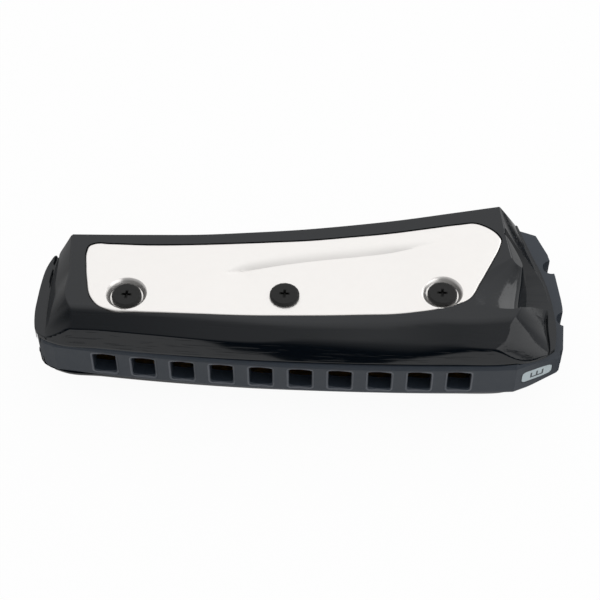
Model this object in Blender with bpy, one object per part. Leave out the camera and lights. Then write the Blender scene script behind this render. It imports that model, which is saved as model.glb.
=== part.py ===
"""Ten-hole diatonic harmonica with a wedge-shaped body, built from separate pieces.

Units are metres, +Z up. The drawing frame has its origin at the centre cover screw, on the comb's middle plane:
X runs along the mouth holes, Y from the mouth side to the back. Everything hangs on one empty, which moves the
drawing frame so that the part stands on Z = 0, centred in X and Y.
"""

import math

import bmesh
import bpy
from mathutils import Matrix, Vector

MM = 0.001
THROUGH = 20 * MM

# Mouth side and air channels
HOLE_COUNT = 10
HOLE_PITCH = 7.5 * MM
HOLE_WIDTH = 4.4 * MM
HOLE_HEIGHT = 5.2 * MM
HOLE_BULGE = 0.35 * MM
HOLE_CORNER = 0.35 * MM
HOLE_RIM = 0.35 * MM
CHANNEL_WIDTH = 4.6 * MM
CHANNEL_START = 3.0 * MM
NOSE_Y = -11.7 * MM
NOSE_APEX_X = -1.5 * MM
NOSE_RADIUS = 455 * MM
NOSE_EDGE = 0.6 * MM
NOSE_EDGE_RISE = 1.0 * MM

# Comb decks, ledges and end flange, stacked up from the middle plane
DECK_Z = 3.0 * MM
SEAT_GAP = 0.1 * MM
PLATE_THICKNESS = 0.9 * MM
LEDGE_Z = DECK_Z + SEAT_GAP + PLATE_THICKNESS
SEAM_LIP = 0.3 * MM
BODY_HALF_HEIGHT = LEDGE_Z + SEAM_LIP
COVER_SEAM_GAP = 0.25 * MM
REAR_SETBACK = 0.6 * MM
FLANGE_HALF_HEIGHT = 2.1 * MM
NOTCHES = [(51.9 * MM, 17.9 * MM, 1.7 * MM), (54.2 * MM, 4.7 * MM, 1.8 * MM),
           (53.9 * MM, -3.9 * MM, 1.2 * MM)]

NOTCH_SIDES = 20

# Reed plates, reeds and rivets
PLATE_FRONT_SETBACK = 0.6 * MM
PLATE_LEFT_X = -40.0 * MM
PLATE_RIGHT_X = 41.0 * MM
PLATE_MARGIN_BEHIND = 2.4 * MM
PLATE_FRONT_STEPS = 12
REED_THICKNESS = 0.2 * MM
REED_WIDTH = 2.3 * MM
REED_TIP_WIDTH = 2.0 * MM
REED_LIFT = 0.18 * MM
REED_SIDE_GAP = 0.15 * MM
REED_LONGEST = 16.0 * MM
REED_STEP = 0.72 * MM
PAD_WIDTH = 2.8 * MM
PAD_HALF_LENGTH = 1.3 * MM
ROOT_BRIDGE = 1.6 * MM
DRAW_RIVET_SETBACK = 3.4 * MM
RIVET_RADIUS = 0.45 * MM
RIVET_HEAD_RADIUS = 0.85 * MM
RIVET_HEAD_HEIGHT = 0.35 * MM
RIVET_CLEARANCE = 0.1 * MM
RIVET_SIDES = 8

# Covers
SEAM_SETBACK = 0.65 * MM
COVER_HEIGHT = 7.2 * MM
COVER_FOOT_Z = LEDGE_Z + SEAT_GAP
COVER_TOP_Z = COVER_FOOT_Z + COVER_HEIGHT
COVER_WALL = 1.5 * MM
COVER_EDGE_DROP = 0.25 * MM
SKIRT_Z = FLANGE_HALF_HEIGHT + SEAT_GAP
REAR_OPENING_X = (-37.0 * MM, 37.0 * MM)
REAR_RAIL_HEIGHT = 2.0 * MM
REAR_OPENING_TOP_Z = COVER_TOP_Z - REAR_RAIL_HEIGHT
REAR_OPENING_REACH = 4.0 * MM
ROLL_DEPTH = 0.9 * MM
ROLL_LENGTH = 5.0 * MM
THUMB_DEPTH = 1.1 * MM
THUMB_SPAN = (-13.0 * MM, 32.0 * MM)
THUMB_RAMP = 13.0 * MM
THUMB_CEILING_SHIFT = 4.0 * MM
VOID_DROP = 0.3 * MM
SCOOP_CENTRE = (50.5 * MM, 0.13 * MM, COVER_TOP_Z + 2.3 * MM)
SCOOP_RADII = (13.6 * MM, 16.0 * MM, 6.4 * MM)
SCOOP_STEPS = 9
SCOOP_END_SHARE = 0.05
SCOOP_RISE = 3.0 * MM

# Metal inlays and cover screws
INLAY_THICKNESS = 0.6 * MM
INLAY_CLEARANCE = 0.15 * MM
INLAY_DEEPEST = 3.0 * MM
SCREW_SPACING = 29.75 * MM
SCREW_LINE_SLOPE = 0.074
SCREW_HEAD_RADIUS = 2.83 * MM
SCREW_HEAD_HEIGHT = 0.75 * MM
SCREW_SHANK_RADIUS = 0.75 * MM
SCREW_TIP_Z = 0.4 * MM
SCREW_TIP_LENGTH = 0.6 * MM
SCREW_TIP_SHARE = 0.6
SCREW_EDGE = 0.25 * MM
SCREW_CROWN_SHARE = 0.88
SCREW_SIDES = 18
SCREW_CLEARANCE = 0.12 * MM
SCREW_SEAT_Z = COVER_TOP_Z - THUMB_DEPTH
DIMPLE_RADIUS = 3.85 * MM
DIMPLE_FLOOR_RADIUS = 3.05 * MM
DIMPLE_SIDES = 20
DIMPLE_REACH = 2.0 * MM
BORE_SIDES = 12
BOSS_RADIUS = 4.9 * MM
POST_RADIUS = 2.15 * MM
POST_LENGTH = 3.5 * MM
POST_STEP_Z = COVER_FOOT_Z + POST_LENGTH
POST_CONE = 1.2 * MM
POST_SIDES = 16
CROSS_LENGTH = 2.3 * MM
CROSS_WIDTH = 0.5 * MM
CROSS_DEPTH = 0.5 * MM
CROSS_FOOT_LENGTH_SHARE = 0.45
CROSS_FOOT_WIDTH_SHARE = 0.83

# Screws that hold the reed plates
PLATE_SCREW_HEAD_RADIUS = 1.3 * MM
PLATE_SCREW_HEAD_HEIGHT = 0.6 * MM
PLATE_SCREW_SHANK_RADIUS = 0.6 * MM
PLATE_SCREW_LENGTH = 3.0 * MM
PLATE_SCREW_EDGE = 0.2 * MM
PLATE_SCREW_CROWN_SHARE = 0.8
PLATE_SCREW_SIDES = 10
PLATE_SCREW_END_GAP = 0.68 * HOLE_PITCH
PLATE_SCREW_REAR_MARGIN = 0.4 * MM
PLATE_SCREW_LEFT_Y = 0.0
PLATE_SCREW_RIGHT_Y = 4.0 * MM
PLATE_CROSS_LENGTH = 1.4 * MM
PLATE_CROSS_WIDTH = 0.3 * MM
PLATE_CROSS_DEPTH = 0.35 * MM

# Key badge on the bevelled corner of the mouth side
BEVEL_START = (44.4 * MM, -9.3 * MM)
BEVEL_END = (52.6 * MM, -5.1 * MM)
BADGE_LENGTH = 6.6 * MM
BADGE_HEIGHT = 3.4 * MM
BADGE_TIP_HEIGHT = 2.6 * MM
BADGE_THICKNESS = 0.6 * MM
BADGE_CORNER = 1.1 * MM
BADGE_CORNER_STEPS = 3

# The lines that shape the plan, in millimetres: the covers' rear edge, the seam's two corners, the thumb rest's
# rear lines and the inlay's outline
REAR_EDGE = [(-46.5, 12.1), (-42.5, 12.3), (-27.3, 13.2), (-17.6, 13.9), (-7.9, 15.1), (1.8, 16.5),
             (11.5, 18.3), (21.3, 20.4), (31.1, 22.9), (40.4, 25.3), (45.5, 26.6)]
SEAM_LEFT = [(-47.3, -6.6), (-46.4, -8.0), (-45.0, -8.9), (-42.5, -9.45)]
SEAM_RIGHT = [(42.5, -8.95), (45.2, -8.4), (48.2, -7.4), (50.2, -6.2), (51.4, -5.1)]
THUMB_FOOT = [(-14, 3.2), (-11.4, 4.4), (-8.9, 5.3), (-1.4, 7.6), (6.2, 9.4), (13.8, 10.9), (21.5, 12.7),
              (28.6, 14.9), (33, 16.2)]
THUMB_CREST = [(-14, 4.0), (-11.4, 5.1), (-9.1, 7.0), (-3.5, 9.3), (2.2, 11.0), (9.8, 12.6), (17.5, 14.1),
               (23.3, 15.0), (28.5, 15.9), (33, 16.9)]
INLAY_OUTLINE = [(-37.8, 7.7), (-37.6, 9.6), (-36.2, 10.5), (-28, 10.8), (-17.3, 11.5), (-8, 12.3), (2, 13.6),
                 (12, 15.2), (21.3, 17.0), (30, 19.2), (34.6, 20.4), (36.6, 20.4), (39.8, 17.9), (41.2, 16.0),
                 (41.1, 14.0), (39.2, 9.3), (36.6, 3.6), (34.9, 0.7), (32.5, -1.1), (29.3, -2.1), (21.9, -3.1),
                 (9.5, -4.3), (-6, -5.4), (-19, -6.0), (-28.5, -6.2), (-32.3, -6.0), (-34.2, -4.8), (-35.2, -2.8),
                 (-36.6, 2.0)]

# The comb's front left corner, its right end inside the cover's skirt and the flange, in millimetres
BODY_LEFT_CORNER = [(-47.6, -5.0), (-46.8, -7.3), (-45.5, -8.9), (-43.4, -9.75)]
BODY_RIGHT_CORNER = [(51.2, -3.9), (50.0, -2.6)]
FLANGE_OUTER = [(53.3, -4.2), (53.7, 3.0), (53.7, 7.5), (53.5, 9.5), (52.6, 15.6), (51.3, 21.2), (49.1, 26.2),
                (45.6, 27.4)]
FLANGE_INNER = [(43.0, 25.0), (46.0, 10.0), (46.0, -4.0), (49.0, -5.9)]

# The slanted plane between the seam and the flange at the bevelled corner
SHOULDER_START = (45.6 * MM, -8.3 * MM)
SHOULDER_END = (51.4 * MM, -3.7 * MM)
SHOULDER_STEP = 0.03 * MM
FLANGE_BEVEL_SHARE = 0.99

# Stations along X of the slab that follows the cover's top, in millimetres, and its steps in Y
SLAB_STATIONS = [-41, -37, -28, -19, -13, -10, -7.4, -3, 1, 6, 12, 18, 22, 25, 28, 32, 38, 43]
SLAB_STEP = 2.5 * MM
SLAB_REAR_Y = 24.5 * MM
SLAB_LEAST_STEP = 0.5 * MM

# Side edges of a cover: how far back along the edge, and x in millimetres
LEFT_EDGE = [(0, -47.3), (0.08, -47.6), (0.2, -47.9), (0.4, -48.0), (0.6, -47.95), (0.8, -47.6), (0.92, -47.0),
             (1, -46.4)]
RIGHT_EDGE = [(0, 51.4), (0.13, 51.8), (0.28, 51.5), (0.44, 50.7), (0.58, 49.5), (0.755, 47.5), (1, 44.9)]

# Rings of a cover from the seam up, in millimetres: height above the seam, then the distance in from the front
# edge at its left and right ends, from the left, from the right and from the back
COVER_LEVELS = [(0.0, 0.0, 0.0, 0.0, 0.0, 0.0), (0.8, 0.35, 0.35, 0.15, 0.15, 0.05),
                (1.0, 0.45, 0.5, 1.8, 1.3, 0.06), (3.6, 1.5, 2.4, 3.7, 3.2, 0.25),
                (5.6, 3.0, 4.8, 5.5, 5.0, 0.5)]
COVER_SHOULDER = (4.0, 7.0, 6.3, 6.0, 0.9)
COVER_CROWN = (5.0, 8.0, 7.4, 7.4, 1.9)
FRONT_STEPS = 18
SIDE_STEPS = 7
SHARP_ANGLE = math.radians(35)


def clear_scene():
    for old in list(bpy.data.objects):
        bpy.data.objects.remove(old)


def material(name, colour, roughness, metallic=0.0):
    made = bpy.data.materials.new(name)
    made.use_nodes = True
    shader = made.node_tree.nodes["Principled BSDF"]
    shader.inputs["Base Color"].default_value = (*colour, 1.0)
    shader.inputs["Roughness"].default_value = roughness
    shader.inputs["Metallic"].default_value = metallic
    made.diffuse_color = (*colour, 1.0)
    return made


# Curves

def spline(points, parameters, wanted):
    """Cubic Hermite curve through points at the given rising parameters, read at one wanted parameter."""
    last = len(points) - 1
    index = max(i for i in range(last) if i == 0 or parameters[i] <= wanted)
    span = parameters[index + 1] - parameters[index]
    t = (wanted - parameters[index]) / span

    def slope(i):
        a, b = max(i - 1, 0), min(i + 1, last)
        return (points[b] - points[a]) / (parameters[b] - parameters[a])

    return ((2 * t**3 - 3 * t**2 + 1) * points[index] + (t**3 - 2 * t**2 + t) * span * slope(index)
            + (3 * t**2 - 2 * t**3) * points[index + 1] + (t**3 - t**2) * span * slope(index + 1))


def height_of_line(points_mm, x):
    """The y of a line given by points in millimetres, at x."""
    xs = [p[0] * MM for p in points_mm]
    ys = [p[1] * MM for p in points_mm]
    return spline(ys, xs, min(max(x, xs[0]), xs[-1]))


def nose_y(x):
    """The arched mouth side of the comb."""
    return NOSE_Y + (x - NOSE_APEX_X) ** 2 / (2 * NOSE_RADIUS)


def seam_y(x):
    """Where a cover's front edge stands behind the mouth side."""
    middle = [(step, (nose_y(step * MM) + SEAM_SETBACK) / MM) for step in range(-36, 37, 12)]
    return height_of_line(SEAM_LEFT + middle + SEAM_RIGHT, x)


def rear_y(x):
    return height_of_line(REAR_EDGE, x)


def millimetres(points):
    return [(x * MM, y * MM) for x, y in points]


def smoothstep(t):
    t = min(max(t, 0.0), 1.0)
    return t * t * (3 - 2 * t)


def thumb_dip(x, y):
    """How far the thumb rest sinks the cover's top at a point. It ends at a crescent-shaped step at its back."""
    along = smoothstep((x - THUMB_SPAN[0]) / THUMB_RAMP) * smoothstep((THUMB_SPAN[1] - x) / THUMB_RAMP)
    foot, crest = height_of_line(THUMB_FOOT, x), height_of_line(THUMB_CREST, x)
    return THUMB_DEPTH * along * min(max((crest - y) / (crest - foot), 0.0), 1.0)


def front_roll(x, y):
    """How far the top has rolled down towards its front edge at a point."""
    share = (x - SEAM_LEFT[-1][0] * MM) / (SEAM_RIGHT[0][0] - SEAM_LEFT[-1][0]) / MM
    share = min(max(share, 0.0), 1.0)
    edge = seam_y(x) + (COVER_SHOULDER[0] * (1 - share) + COVER_SHOULDER[1] * share) * MM
    return ROLL_DEPTH * max(1 - (y - edge) / ROLL_LENGTH, 0.0) ** 2


def top_z(x, y):
    dip = thumb_dip(x, y)
    return COVER_TOP_Z - dip - front_roll(x, y) * (1 - 0.5 * dip / THUMB_DEPTH)


def inset(outline, distance):
    """The outline moved inwards by a distance, with mitred corners; it runs counterclockwise."""
    moved = []
    count = len(outline)
    for i in range(count):
        before = (outline[i] - outline[i - 1]).normalized()
        after = (outline[(i + 1) % count] - outline[i]).normalized()
        along = (before + after).normalized()
        moved.append(outline[i] + Vector((-along.y, along.x)) * (distance / max(along.dot(after), 0.5)))
    return moved


# Meshes

def object_from(name, mesh_builder, finish=None):
    """A new object from a bmesh, with its normals facing out."""
    bmesh.ops.recalc_face_normals(mesh_builder, faces=mesh_builder.faces)
    mesh = bpy.data.meshes.new(name)
    mesh_builder.to_mesh(mesh)
    mesh_builder.free()
    made = bpy.data.objects.new(name, mesh)
    bpy.context.scene.collection.objects.link(made)
    if finish:
        mesh.materials.append(finish)
    return made


def rings_solid(name, rings, finish=None):
    """A closed solid through rings of equally many points, with a flat cap at each end."""
    builder = bmesh.new()
    loops = [[builder.verts.new(p) for p in ring] for ring in rings]
    count = len(rings[0])
    for lower, upper in zip(loops, loops[1:]):
        for i in range(count):
            j = (i + 1) % count
            builder.faces.new((lower[i], lower[j], upper[j], upper[i]))
    builder.faces.new(loops[0][::-1])
    builder.faces.new(loops[-1])
    return object_from(name, builder, finish)


def prism(name, outline, low, high, finish=None):
    return rings_solid(name, [[(p[0], p[1], z) for p in outline] for z in (low, high)], finish)


def disc_points(centre, radius, sides, turn=0.5):
    angles = [2 * math.pi * (i + turn) / sides for i in range(sides)]
    return [(centre[0] + radius * math.cos(a), centre[1] + radius * math.sin(a)) for a in angles]


def turned(name, centre, profile, sides, finish=None):
    """A turned solid on a vertical axis; the profile lists (radius, z) from bottom to top."""
    rings = [[(x, y, z) for x, y in disc_points(centre, radius, sides)] for radius, z in profile]
    return rings_solid(name, rings, finish)


def bore_tool(place, radius, sides=BORE_SIDES):
    """A round cutter that passes through every layer."""
    return turned("bore_tool", place, [(radius, -THROUGH), (radius, THROUGH)], sides)


def apply_modifiers(obj):
    bpy.context.view_layer.update()
    graph = bpy.context.evaluated_depsgraph_get()
    mesh = bpy.data.meshes.new_from_object(obj.evaluated_get(graph))
    obj.modifiers.clear()
    obj.data = mesh


def combine(target, tool, operation="DIFFERENCE"):
    """Cuts, joins or intersects target with tool, and removes the tool."""
    modifier = target.modifiers.new("combine", "BOOLEAN")
    modifier.object = tool
    modifier.operation = operation
    apply_modifiers(target)
    bpy.data.objects.remove(tool)
    return target


def mirrored(source, name):
    """The same piece for the underside, reflected in the comb's middle plane."""
    mesh = source.data.copy()
    mesh.transform(Matrix.Diagonal((1, 1, -1, 1)))
    mesh.flip_normals()
    made = bpy.data.objects.new(name, mesh)
    bpy.context.scene.collection.objects.link(made)
    return made


def placed(name, mesh, location, turned_over=False):
    """An object that shows a shared mesh at a place, turned over about X for the underside."""
    made = bpy.data.objects.new(name, mesh)
    bpy.context.scene.collection.objects.link(made)
    made.location = location
    made.rotation_euler.x = math.pi if turned_over else 0.0
    return made


def shared_mesh(obj):
    """The mesh of a pattern piece, whose own object goes."""
    mesh = obj.data
    bpy.data.objects.remove(obj)
    return mesh


def only_material(obj, finish):
    """Gives a piece one material, instead of those that its cutters left on it."""
    obj.data.materials.clear()
    obj.data.materials.append(finish)
    return obj


def shade(obj):
    obj.data.shade_smooth()
    obj.data.set_sharp_from_angle(angle=SHARP_ANGLE)


# Places that several pieces share

def hole_x(number):
    """Hole 1 holds the longest reeds, at the wide end."""
    return ((HOLE_COUNT + 1) / 2 - number) * HOLE_PITCH


def reed_length(number):
    return REED_LONGEST - REED_STEP * (number - 1)


def draw_rivet_y(number):
    return seam_y(hole_x(number)) + DRAW_RIVET_SETBACK


def blow_rivet_y(number):
    return draw_rivet_y(number) + ROOT_BRIDGE + reed_length(number)


def channel_end_y(number):
    return blow_rivet_y(number) + PAD_HALF_LENGTH + 2 * SEAT_GAP


def cover_screw_places():
    return [(side * SCREW_SPACING, side * SCREW_SPACING * SCREW_LINE_SLOPE) for side in (-1, 0, 1)]


def plate_screw_places():
    left = (hole_x(HOLE_COUNT) - PLATE_SCREW_END_GAP, PLATE_SCREW_LEFT_Y)
    middle = (0.0, plate_rear_y(0.0) - PLATE_SCREW_HEAD_RADIUS - PLATE_SCREW_REAR_MARGIN)
    right = (hole_x(1) + PLATE_SCREW_END_GAP, PLATE_SCREW_RIGHT_Y)
    return [left, middle, right]


def layer_bores():
    """Cutters for the screws that pass through the comb and the reed plates."""
    tools = [bore_tool(place, SCREW_SHANK_RADIUS + SCREW_CLEARANCE) for place in cover_screw_places()]
    tools += [bore_tool(place, PLATE_SCREW_SHANK_RADIUS + SCREW_CLEARANCE) for place in plate_screw_places()]
    return tools


def plate_rear_y(x):
    """The plates' back edge is straight, just behind the longest and the shortest reed's rivet."""
    right_x, left_x = hole_x(1), hole_x(HOLE_COUNT)
    right_y = channel_end_y(1) + PLATE_MARGIN_BEHIND
    left_y = channel_end_y(HOLE_COUNT) + PLATE_MARGIN_BEHIND
    return left_y + (right_y - left_y) * (x - left_x) / (right_x - left_x)


def plate_outline():
    width = PLATE_RIGHT_X - PLATE_LEFT_X
    xs = [PLATE_LEFT_X + width * i / PLATE_FRONT_STEPS for i in range(PLATE_FRONT_STEPS + 1)]
    front = [Vector((x, seam_y(x) + PLATE_FRONT_SETBACK)) for x in xs]
    back = [Vector((x, plate_rear_y(x))) for x in (PLATE_RIGHT_X, PLATE_LEFT_X)]
    return front + back


def cover_spot(u, v):
    """A plan point inside a cover: u runs from the left edge to the right one, v from the seam to the back."""
    left = spline([x * MM for _, x in LEFT_EDGE], [s for s, _ in LEFT_EDGE], v)
    right = spline([x * MM for _, x in RIGHT_EDGE], [s for s, _ in RIGHT_EDGE], v)
    x = left + (right - left) * u
    front, back = seam_y(x), rear_y(x)
    return Vector((x, front + (back - front) * v))


def cover_window(distances, extra=0.0):
    """Turns distances in from a cover's edges into limits of u, and functions for the limits of v."""
    front_left, front_right, left, right, back = [d * MM + extra for d in distances]
    width = (cover_spot(1, 0.5) - cover_spot(0, 0.5)).length
    low_u, high_u = left / width, 1 - right / width

    def depth(u):
        return (cover_spot(u, 1) - cover_spot(u, 0)).length

    def low_v(u):
        return (front_left + (front_right - front_left) * u) / depth(u)

    def high_v(u):
        return 1 - back / depth(u)

    return low_u, high_u, low_v, high_v


def cover_ring(distances, extra=0.0):
    """The closed line at given distances in from a cover's edges, counterclockwise from its front left corner."""
    low_u, high_u, low_v, high_v = cover_window(distances, extra)
    ring = []
    for step in range(FRONT_STEPS):
        u = low_u + (high_u - low_u) * step / FRONT_STEPS
        ring.append(cover_spot(u, low_v(u)))
    for step in range(SIDE_STEPS):
        ring.append(cover_spot(high_u, low_v(high_u) + (high_v(high_u) - low_v(high_u)) * step / SIDE_STEPS))
    for step in range(FRONT_STEPS):
        u = high_u + (low_u - high_u) * step / FRONT_STEPS
        ring.append(cover_spot(u, high_v(u)))
    for step in range(SIDE_STEPS):
        ring.append(cover_spot(low_u, high_v(low_u) + (low_v(low_u) - high_v(low_u)) * step / SIDE_STEPS))
    return ring


def cover_base_outline():
    return cover_ring((0, 0, 0, 0, 0))


def body_outline():
    """The comb's full-height body: mouth side, bevelled corner, right end inside the cover's skirt, back and left."""
    front = [(x * MM, nose_y(x * MM)) for x in range(-40, 41, 8)] + [BEVEL_START, BEVEL_END]
    right = millimetres(BODY_RIGHT_CORNER)
    for share in (0.2, 0.35, 0.5, 0.65, 0.8):
        spot = cover_spot(1, share)
        right.append((spot.x - COVER_WALL - SEAT_GAP, spot.y))
    corner = cover_spot(1, 0.93)
    back_xs = [corner.x - COVER_WALL - SEAT_GAP] + [x * MM for x in range(38, -43, -8)]
    back = [(x, rear_y(x) - REAR_SETBACK) for x in back_xs]
    left = [cover_spot(0, share) for share in (0.96, 0.88, 0.76, 0.6, 0.45, 0.3, 0.15)]
    return [Vector(p) for p in front + right + back + left + millimetres(BODY_LEFT_CORNER)]


def flange_outline():
    """The thin notched flange round the comb's right end."""
    on_bevel = Vector(BEVEL_START).lerp(Vector(BEVEL_END), FLANGE_BEVEL_SHARE)
    return [Vector(p) for p in millimetres(FLANGE_OUTER + FLANGE_INNER)] + [on_bevel]


# Pieces

def surface_slab(name, lift, depth):
    """A slab that follows the cover's top surface, from lift above it to depth below it."""
    builder = bmesh.new()
    columns = []
    for x in [station * MM for station in SLAB_STATIONS]:
        front = seam_y(x) + SLAB_STEP
        ys = [front, front + SLAB_STEP, front + 2 * SLAB_STEP]
        ys.append(max(height_of_line(THUMB_FOOT, x), ys[-1] + SLAB_LEAST_STEP))
        ys.append(max(height_of_line(THUMB_CREST, x), ys[-1] + SLAB_LEAST_STEP))
        ys.append(SLAB_REAR_Y)
        upper = [builder.verts.new((x, y, top_z(x, y) + lift)) for y in ys]
        lower = [builder.verts.new((x, y, top_z(x, y) - depth)) for y in reversed(ys)]
        columns.append(upper + lower)
    count = len(columns[0])
    for left, right in zip(columns, columns[1:]):
        for i in range(count):
            j = (i + 1) % count
            builder.faces.new((left[i], left[j], right[j], right[i]))
    half = count // 2
    for column in (columns[0], columns[-1]):
        for i in range(half - 1):
            builder.faces.new((column[i], column[i + 1], column[count - 2 - i], column[count - 1 - i]))
    return object_from(name, builder)


def inlay_outline():
    return [Vector(p) for p in millimetres(INLAY_OUTLINE)][::-1]


def dimple_tool(place, grow, low):
    """The cone pressed round a screw head, with extra wall grow and its floor at low."""
    high = COVER_TOP_Z + DIMPLE_REACH
    slope = (DIMPLE_RADIUS - DIMPLE_FLOOR_RADIUS) / (COVER_TOP_Z - SCREW_SEAT_Z)
    top_radius = DIMPLE_FLOOR_RADIUS + grow + slope * (high - low)
    return turned("dimple_tool", place, [(DIMPLE_FLOOR_RADIUS + grow, low), (top_radius, high)], DIMPLE_SIDES)


def dimple_places():
    """The screws whose heads lie below the inlay; at the middle one the thumb rest is as deep as a dimple."""
    return [place for place in cover_screw_places() if top_z(*place) - SCREW_SEAT_Z > SEAT_GAP]


def build_inlay(finish):
    """Pressed metal sheet, flush with the cover, with a dimple round each screw."""
    inlay = surface_slab("upper_inlay", 0, INLAY_DEEPEST)
    combine(inlay, prism("outline_tool", inlay_outline(), 0, THROUGH), "INTERSECT")
    under = surface_slab("under_tool", -INLAY_THICKNESS, 2 * INLAY_DEEPEST)
    for place in dimple_places():
        combine(under, dimple_tool(place, INLAY_THICKNESS, SCREW_SEAT_Z - INLAY_THICKNESS))
    combine(inlay, under)
    for place in dimple_places():
        combine(inlay, dimple_tool(place, 0, SCREW_SEAT_Z))
    for place in cover_screw_places():
        combine(inlay, bore_tool(place, SCREW_SHANK_RADIUS + SCREW_CLEARANCE))
    return only_material(inlay, finish)


def crowned_solid(name, rings, distances, extra, surface):
    """A solid through rings, closed below by a flat cap and above by a grid whose height follows surface(x, y)."""
    builder = bmesh.new()
    low_u, high_u, low_v, high_v = cover_window(distances, extra)
    grid = []
    for i in range(FRONT_STEPS + 1):
        u = low_u + (high_u - low_u) * i / FRONT_STEPS
        column = []
        for j in range(SIDE_STEPS + 1):
            spot = cover_spot(u, low_v(u) + (high_v(u) - low_v(u)) * j / SIDE_STEPS)
            column.append(builder.verts.new((spot.x, spot.y, surface(spot.x, spot.y))))
        grid.append(column)
    for left, right in zip(grid, grid[1:]):
        for j in range(SIDE_STEPS):
            builder.faces.new((left[j], right[j], right[j + 1], left[j + 1]))
    rim = [column[0] for column in grid[:-1]] + grid[-1][:-1]
    rim += [column[-1] for column in grid[:0:-1]] + grid[0][:0:-1]
    loops = [[builder.verts.new(p) for p in ring] for ring in rings] + [rim]
    for lower, upper in zip(loops, loops[1:]):
        for i in range(len(rim)):
            j = (i + 1) % len(rim)
            builder.faces.new((lower[i], lower[j], upper[j], upper[i]))
    builder.faces.new(loops[0][::-1])
    bmesh.ops.triangulate(builder, faces=builder.faces)
    return object_from(name, builder)


def cover_block():
    """A cover's outer form as a solid block that reaches down to the middle plane."""
    rings = [[(p.x, p.y, 0) for p in cover_base_outline()]]
    for rise, *distances in COVER_LEVELS:
        rings.append([(p.x, p.y, COVER_FOOT_Z + rise * MM) for p in cover_ring(distances)])
    rings.append([(p.x, p.y, top_z(p.x, p.y) - COVER_EDGE_DROP) for p in cover_ring(COVER_SHOULDER)])
    return crowned_solid("upper_cover", rings, COVER_CROWN, 0, top_z)


def cover_void():
    """The air space under a cover, kept clear of the thumb rest's step and of the scooped end."""
    def ceiling(x, y):
        return COVER_TOP_Z - thumb_dip(x, y - THUMB_CEILING_SHIFT) - front_roll(x, y) - COVER_WALL

    foot_ring = cover_ring(COVER_LEVELS[0][1:], COVER_WALL)
    rings = [[(p.x, p.y, z) for p in foot_ring] for z in (0, COVER_FOOT_Z)]
    for rise, *distances in COVER_LEVELS[3:]:
        level = COVER_FOOT_Z + rise * MM - VOID_DROP
        rings.append([(p.x, p.y, level) for p in cover_ring(distances, COVER_WALL)])
    void = crowned_solid("cover_void", rings, COVER_SHOULDER, COVER_WALL, ceiling)
    combine(void, scoop_tool(COVER_WALL))
    return void


def scoop_tool(grow):
    """Part of an ellipsoid, cut off by an upright plane at its front."""
    centre, radii = Vector(SCOOP_CENTRE), [r + grow for r in SCOOP_RADII]
    rings = []
    turn = [math.pi * (1 + i / SCOOP_STEPS) for i in range(SCOOP_STEPS + 1)]
    for step in range(SCOOP_STEPS + 1):
        along = math.pi / 2 * step / SCOOP_STEPS
        y = centre.y - grow + (radii[1] + grow) * math.sin(along)
        size = max(math.cos(along), SCOOP_END_SHARE)
        width, depth, lid = radii[0] * size, radii[2] * size, centre.z + SCOOP_RISE
        below = [(centre.x + width * math.cos(a), y, centre.z + depth * math.sin(a)) for a in turn]
        rings.append(below + [(centre.x + width, y, lid), (centre.x - width, y, lid)])
    return rings_solid("scoop_tool", rings)


def screw_post(place):
    """A cover's post for one screw: narrow between the reeds, wide above them, and ending inside the shell."""
    profile = [(POST_RADIUS, COVER_FOOT_Z), (POST_RADIUS, POST_STEP_Z), (BOSS_RADIUS, POST_STEP_Z + POST_CONE),
               (BOSS_RADIUS, COVER_TOP_Z)]
    post = turned("post_tool", place, profile, POST_SIDES)
    return combine(post, surface_slab("shell_tool", -INLAY_THICKNESS, THROUGH), "INTERSECT")


def build_cover(finish):
    """Moulded shell with a pocket for the inlay, three screw posts, a scooped right end and an open back."""
    cover = cover_block()
    combine(cover, scoop_tool(0))
    combine(cover, cover_void())
    plan = inset(cover_base_outline(), -THROUGH)
    combine(cover, prism("skirt_tool", plan, -THROUGH, SKIRT_Z))
    combine(cover, prism("seat_tool", inset(body_outline(), -SEAT_GAP), 0, COVER_FOOT_Z))
    left, right = [Vector((x, rear_y(x))) for x in REAR_OPENING_X]
    reach = Vector((0, REAR_OPENING_REACH))
    rear = [left - reach, right - reach, right + reach, left + reach]
    combine(cover, prism("rear_tool", rear, 0, REAR_OPENING_TOP_Z))
    for place in cover_screw_places():
        combine(cover, screw_post(place), "UNION")
    pocket_depth = INLAY_THICKNESS + SEAT_GAP
    pocket = surface_slab("pocket_tool", INLAY_DEEPEST, pocket_depth)
    combine(pocket, prism("outline_tool", inset(inlay_outline(), -INLAY_CLEARANCE), 0, THROUGH), "INTERSECT")
    combine(cover, pocket)
    for place in dimple_places():
        combine(cover, dimple_tool(place, pocket_depth, SCREW_SEAT_Z - pocket_depth))
    for place in cover_screw_places():
        combine(cover, bore_tool(place, SCREW_SHANK_RADIUS + SCREW_CLEARANCE))
    return only_material(cover, finish)


def hole_section(grow):
    """Mouth hole in the X-Z plane: straight sides, arched top and bottom."""
    half_width, half_height = HOLE_WIDTH / 2 + grow, HOLE_HEIGHT / 2 + grow
    across = [-1, -0.93, -0.6, 0, 0.6, 0.93, 1]
    upper = []
    for a in across:
        corner = HOLE_CORNER if abs(a) == 1 else 0
        upper.append((half_width * a, half_height - HOLE_BULGE * a * a - corner))
    return upper + [(x, -z) for x, z in reversed(upper)]


def mouth_tool(number):
    x = hole_x(number)
    face = nose_y(x)
    depths = [(face - 2 * HOLE_RIM, 3 * HOLE_RIM), (face + HOLE_RIM, 0), (face + CHANNEL_START + MM, 0)]
    rings = [[(x + px, y, pz) for px, pz in hole_section(grow)] for y, grow in depths]
    return rings_solid("mouth_tool", rings)


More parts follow.
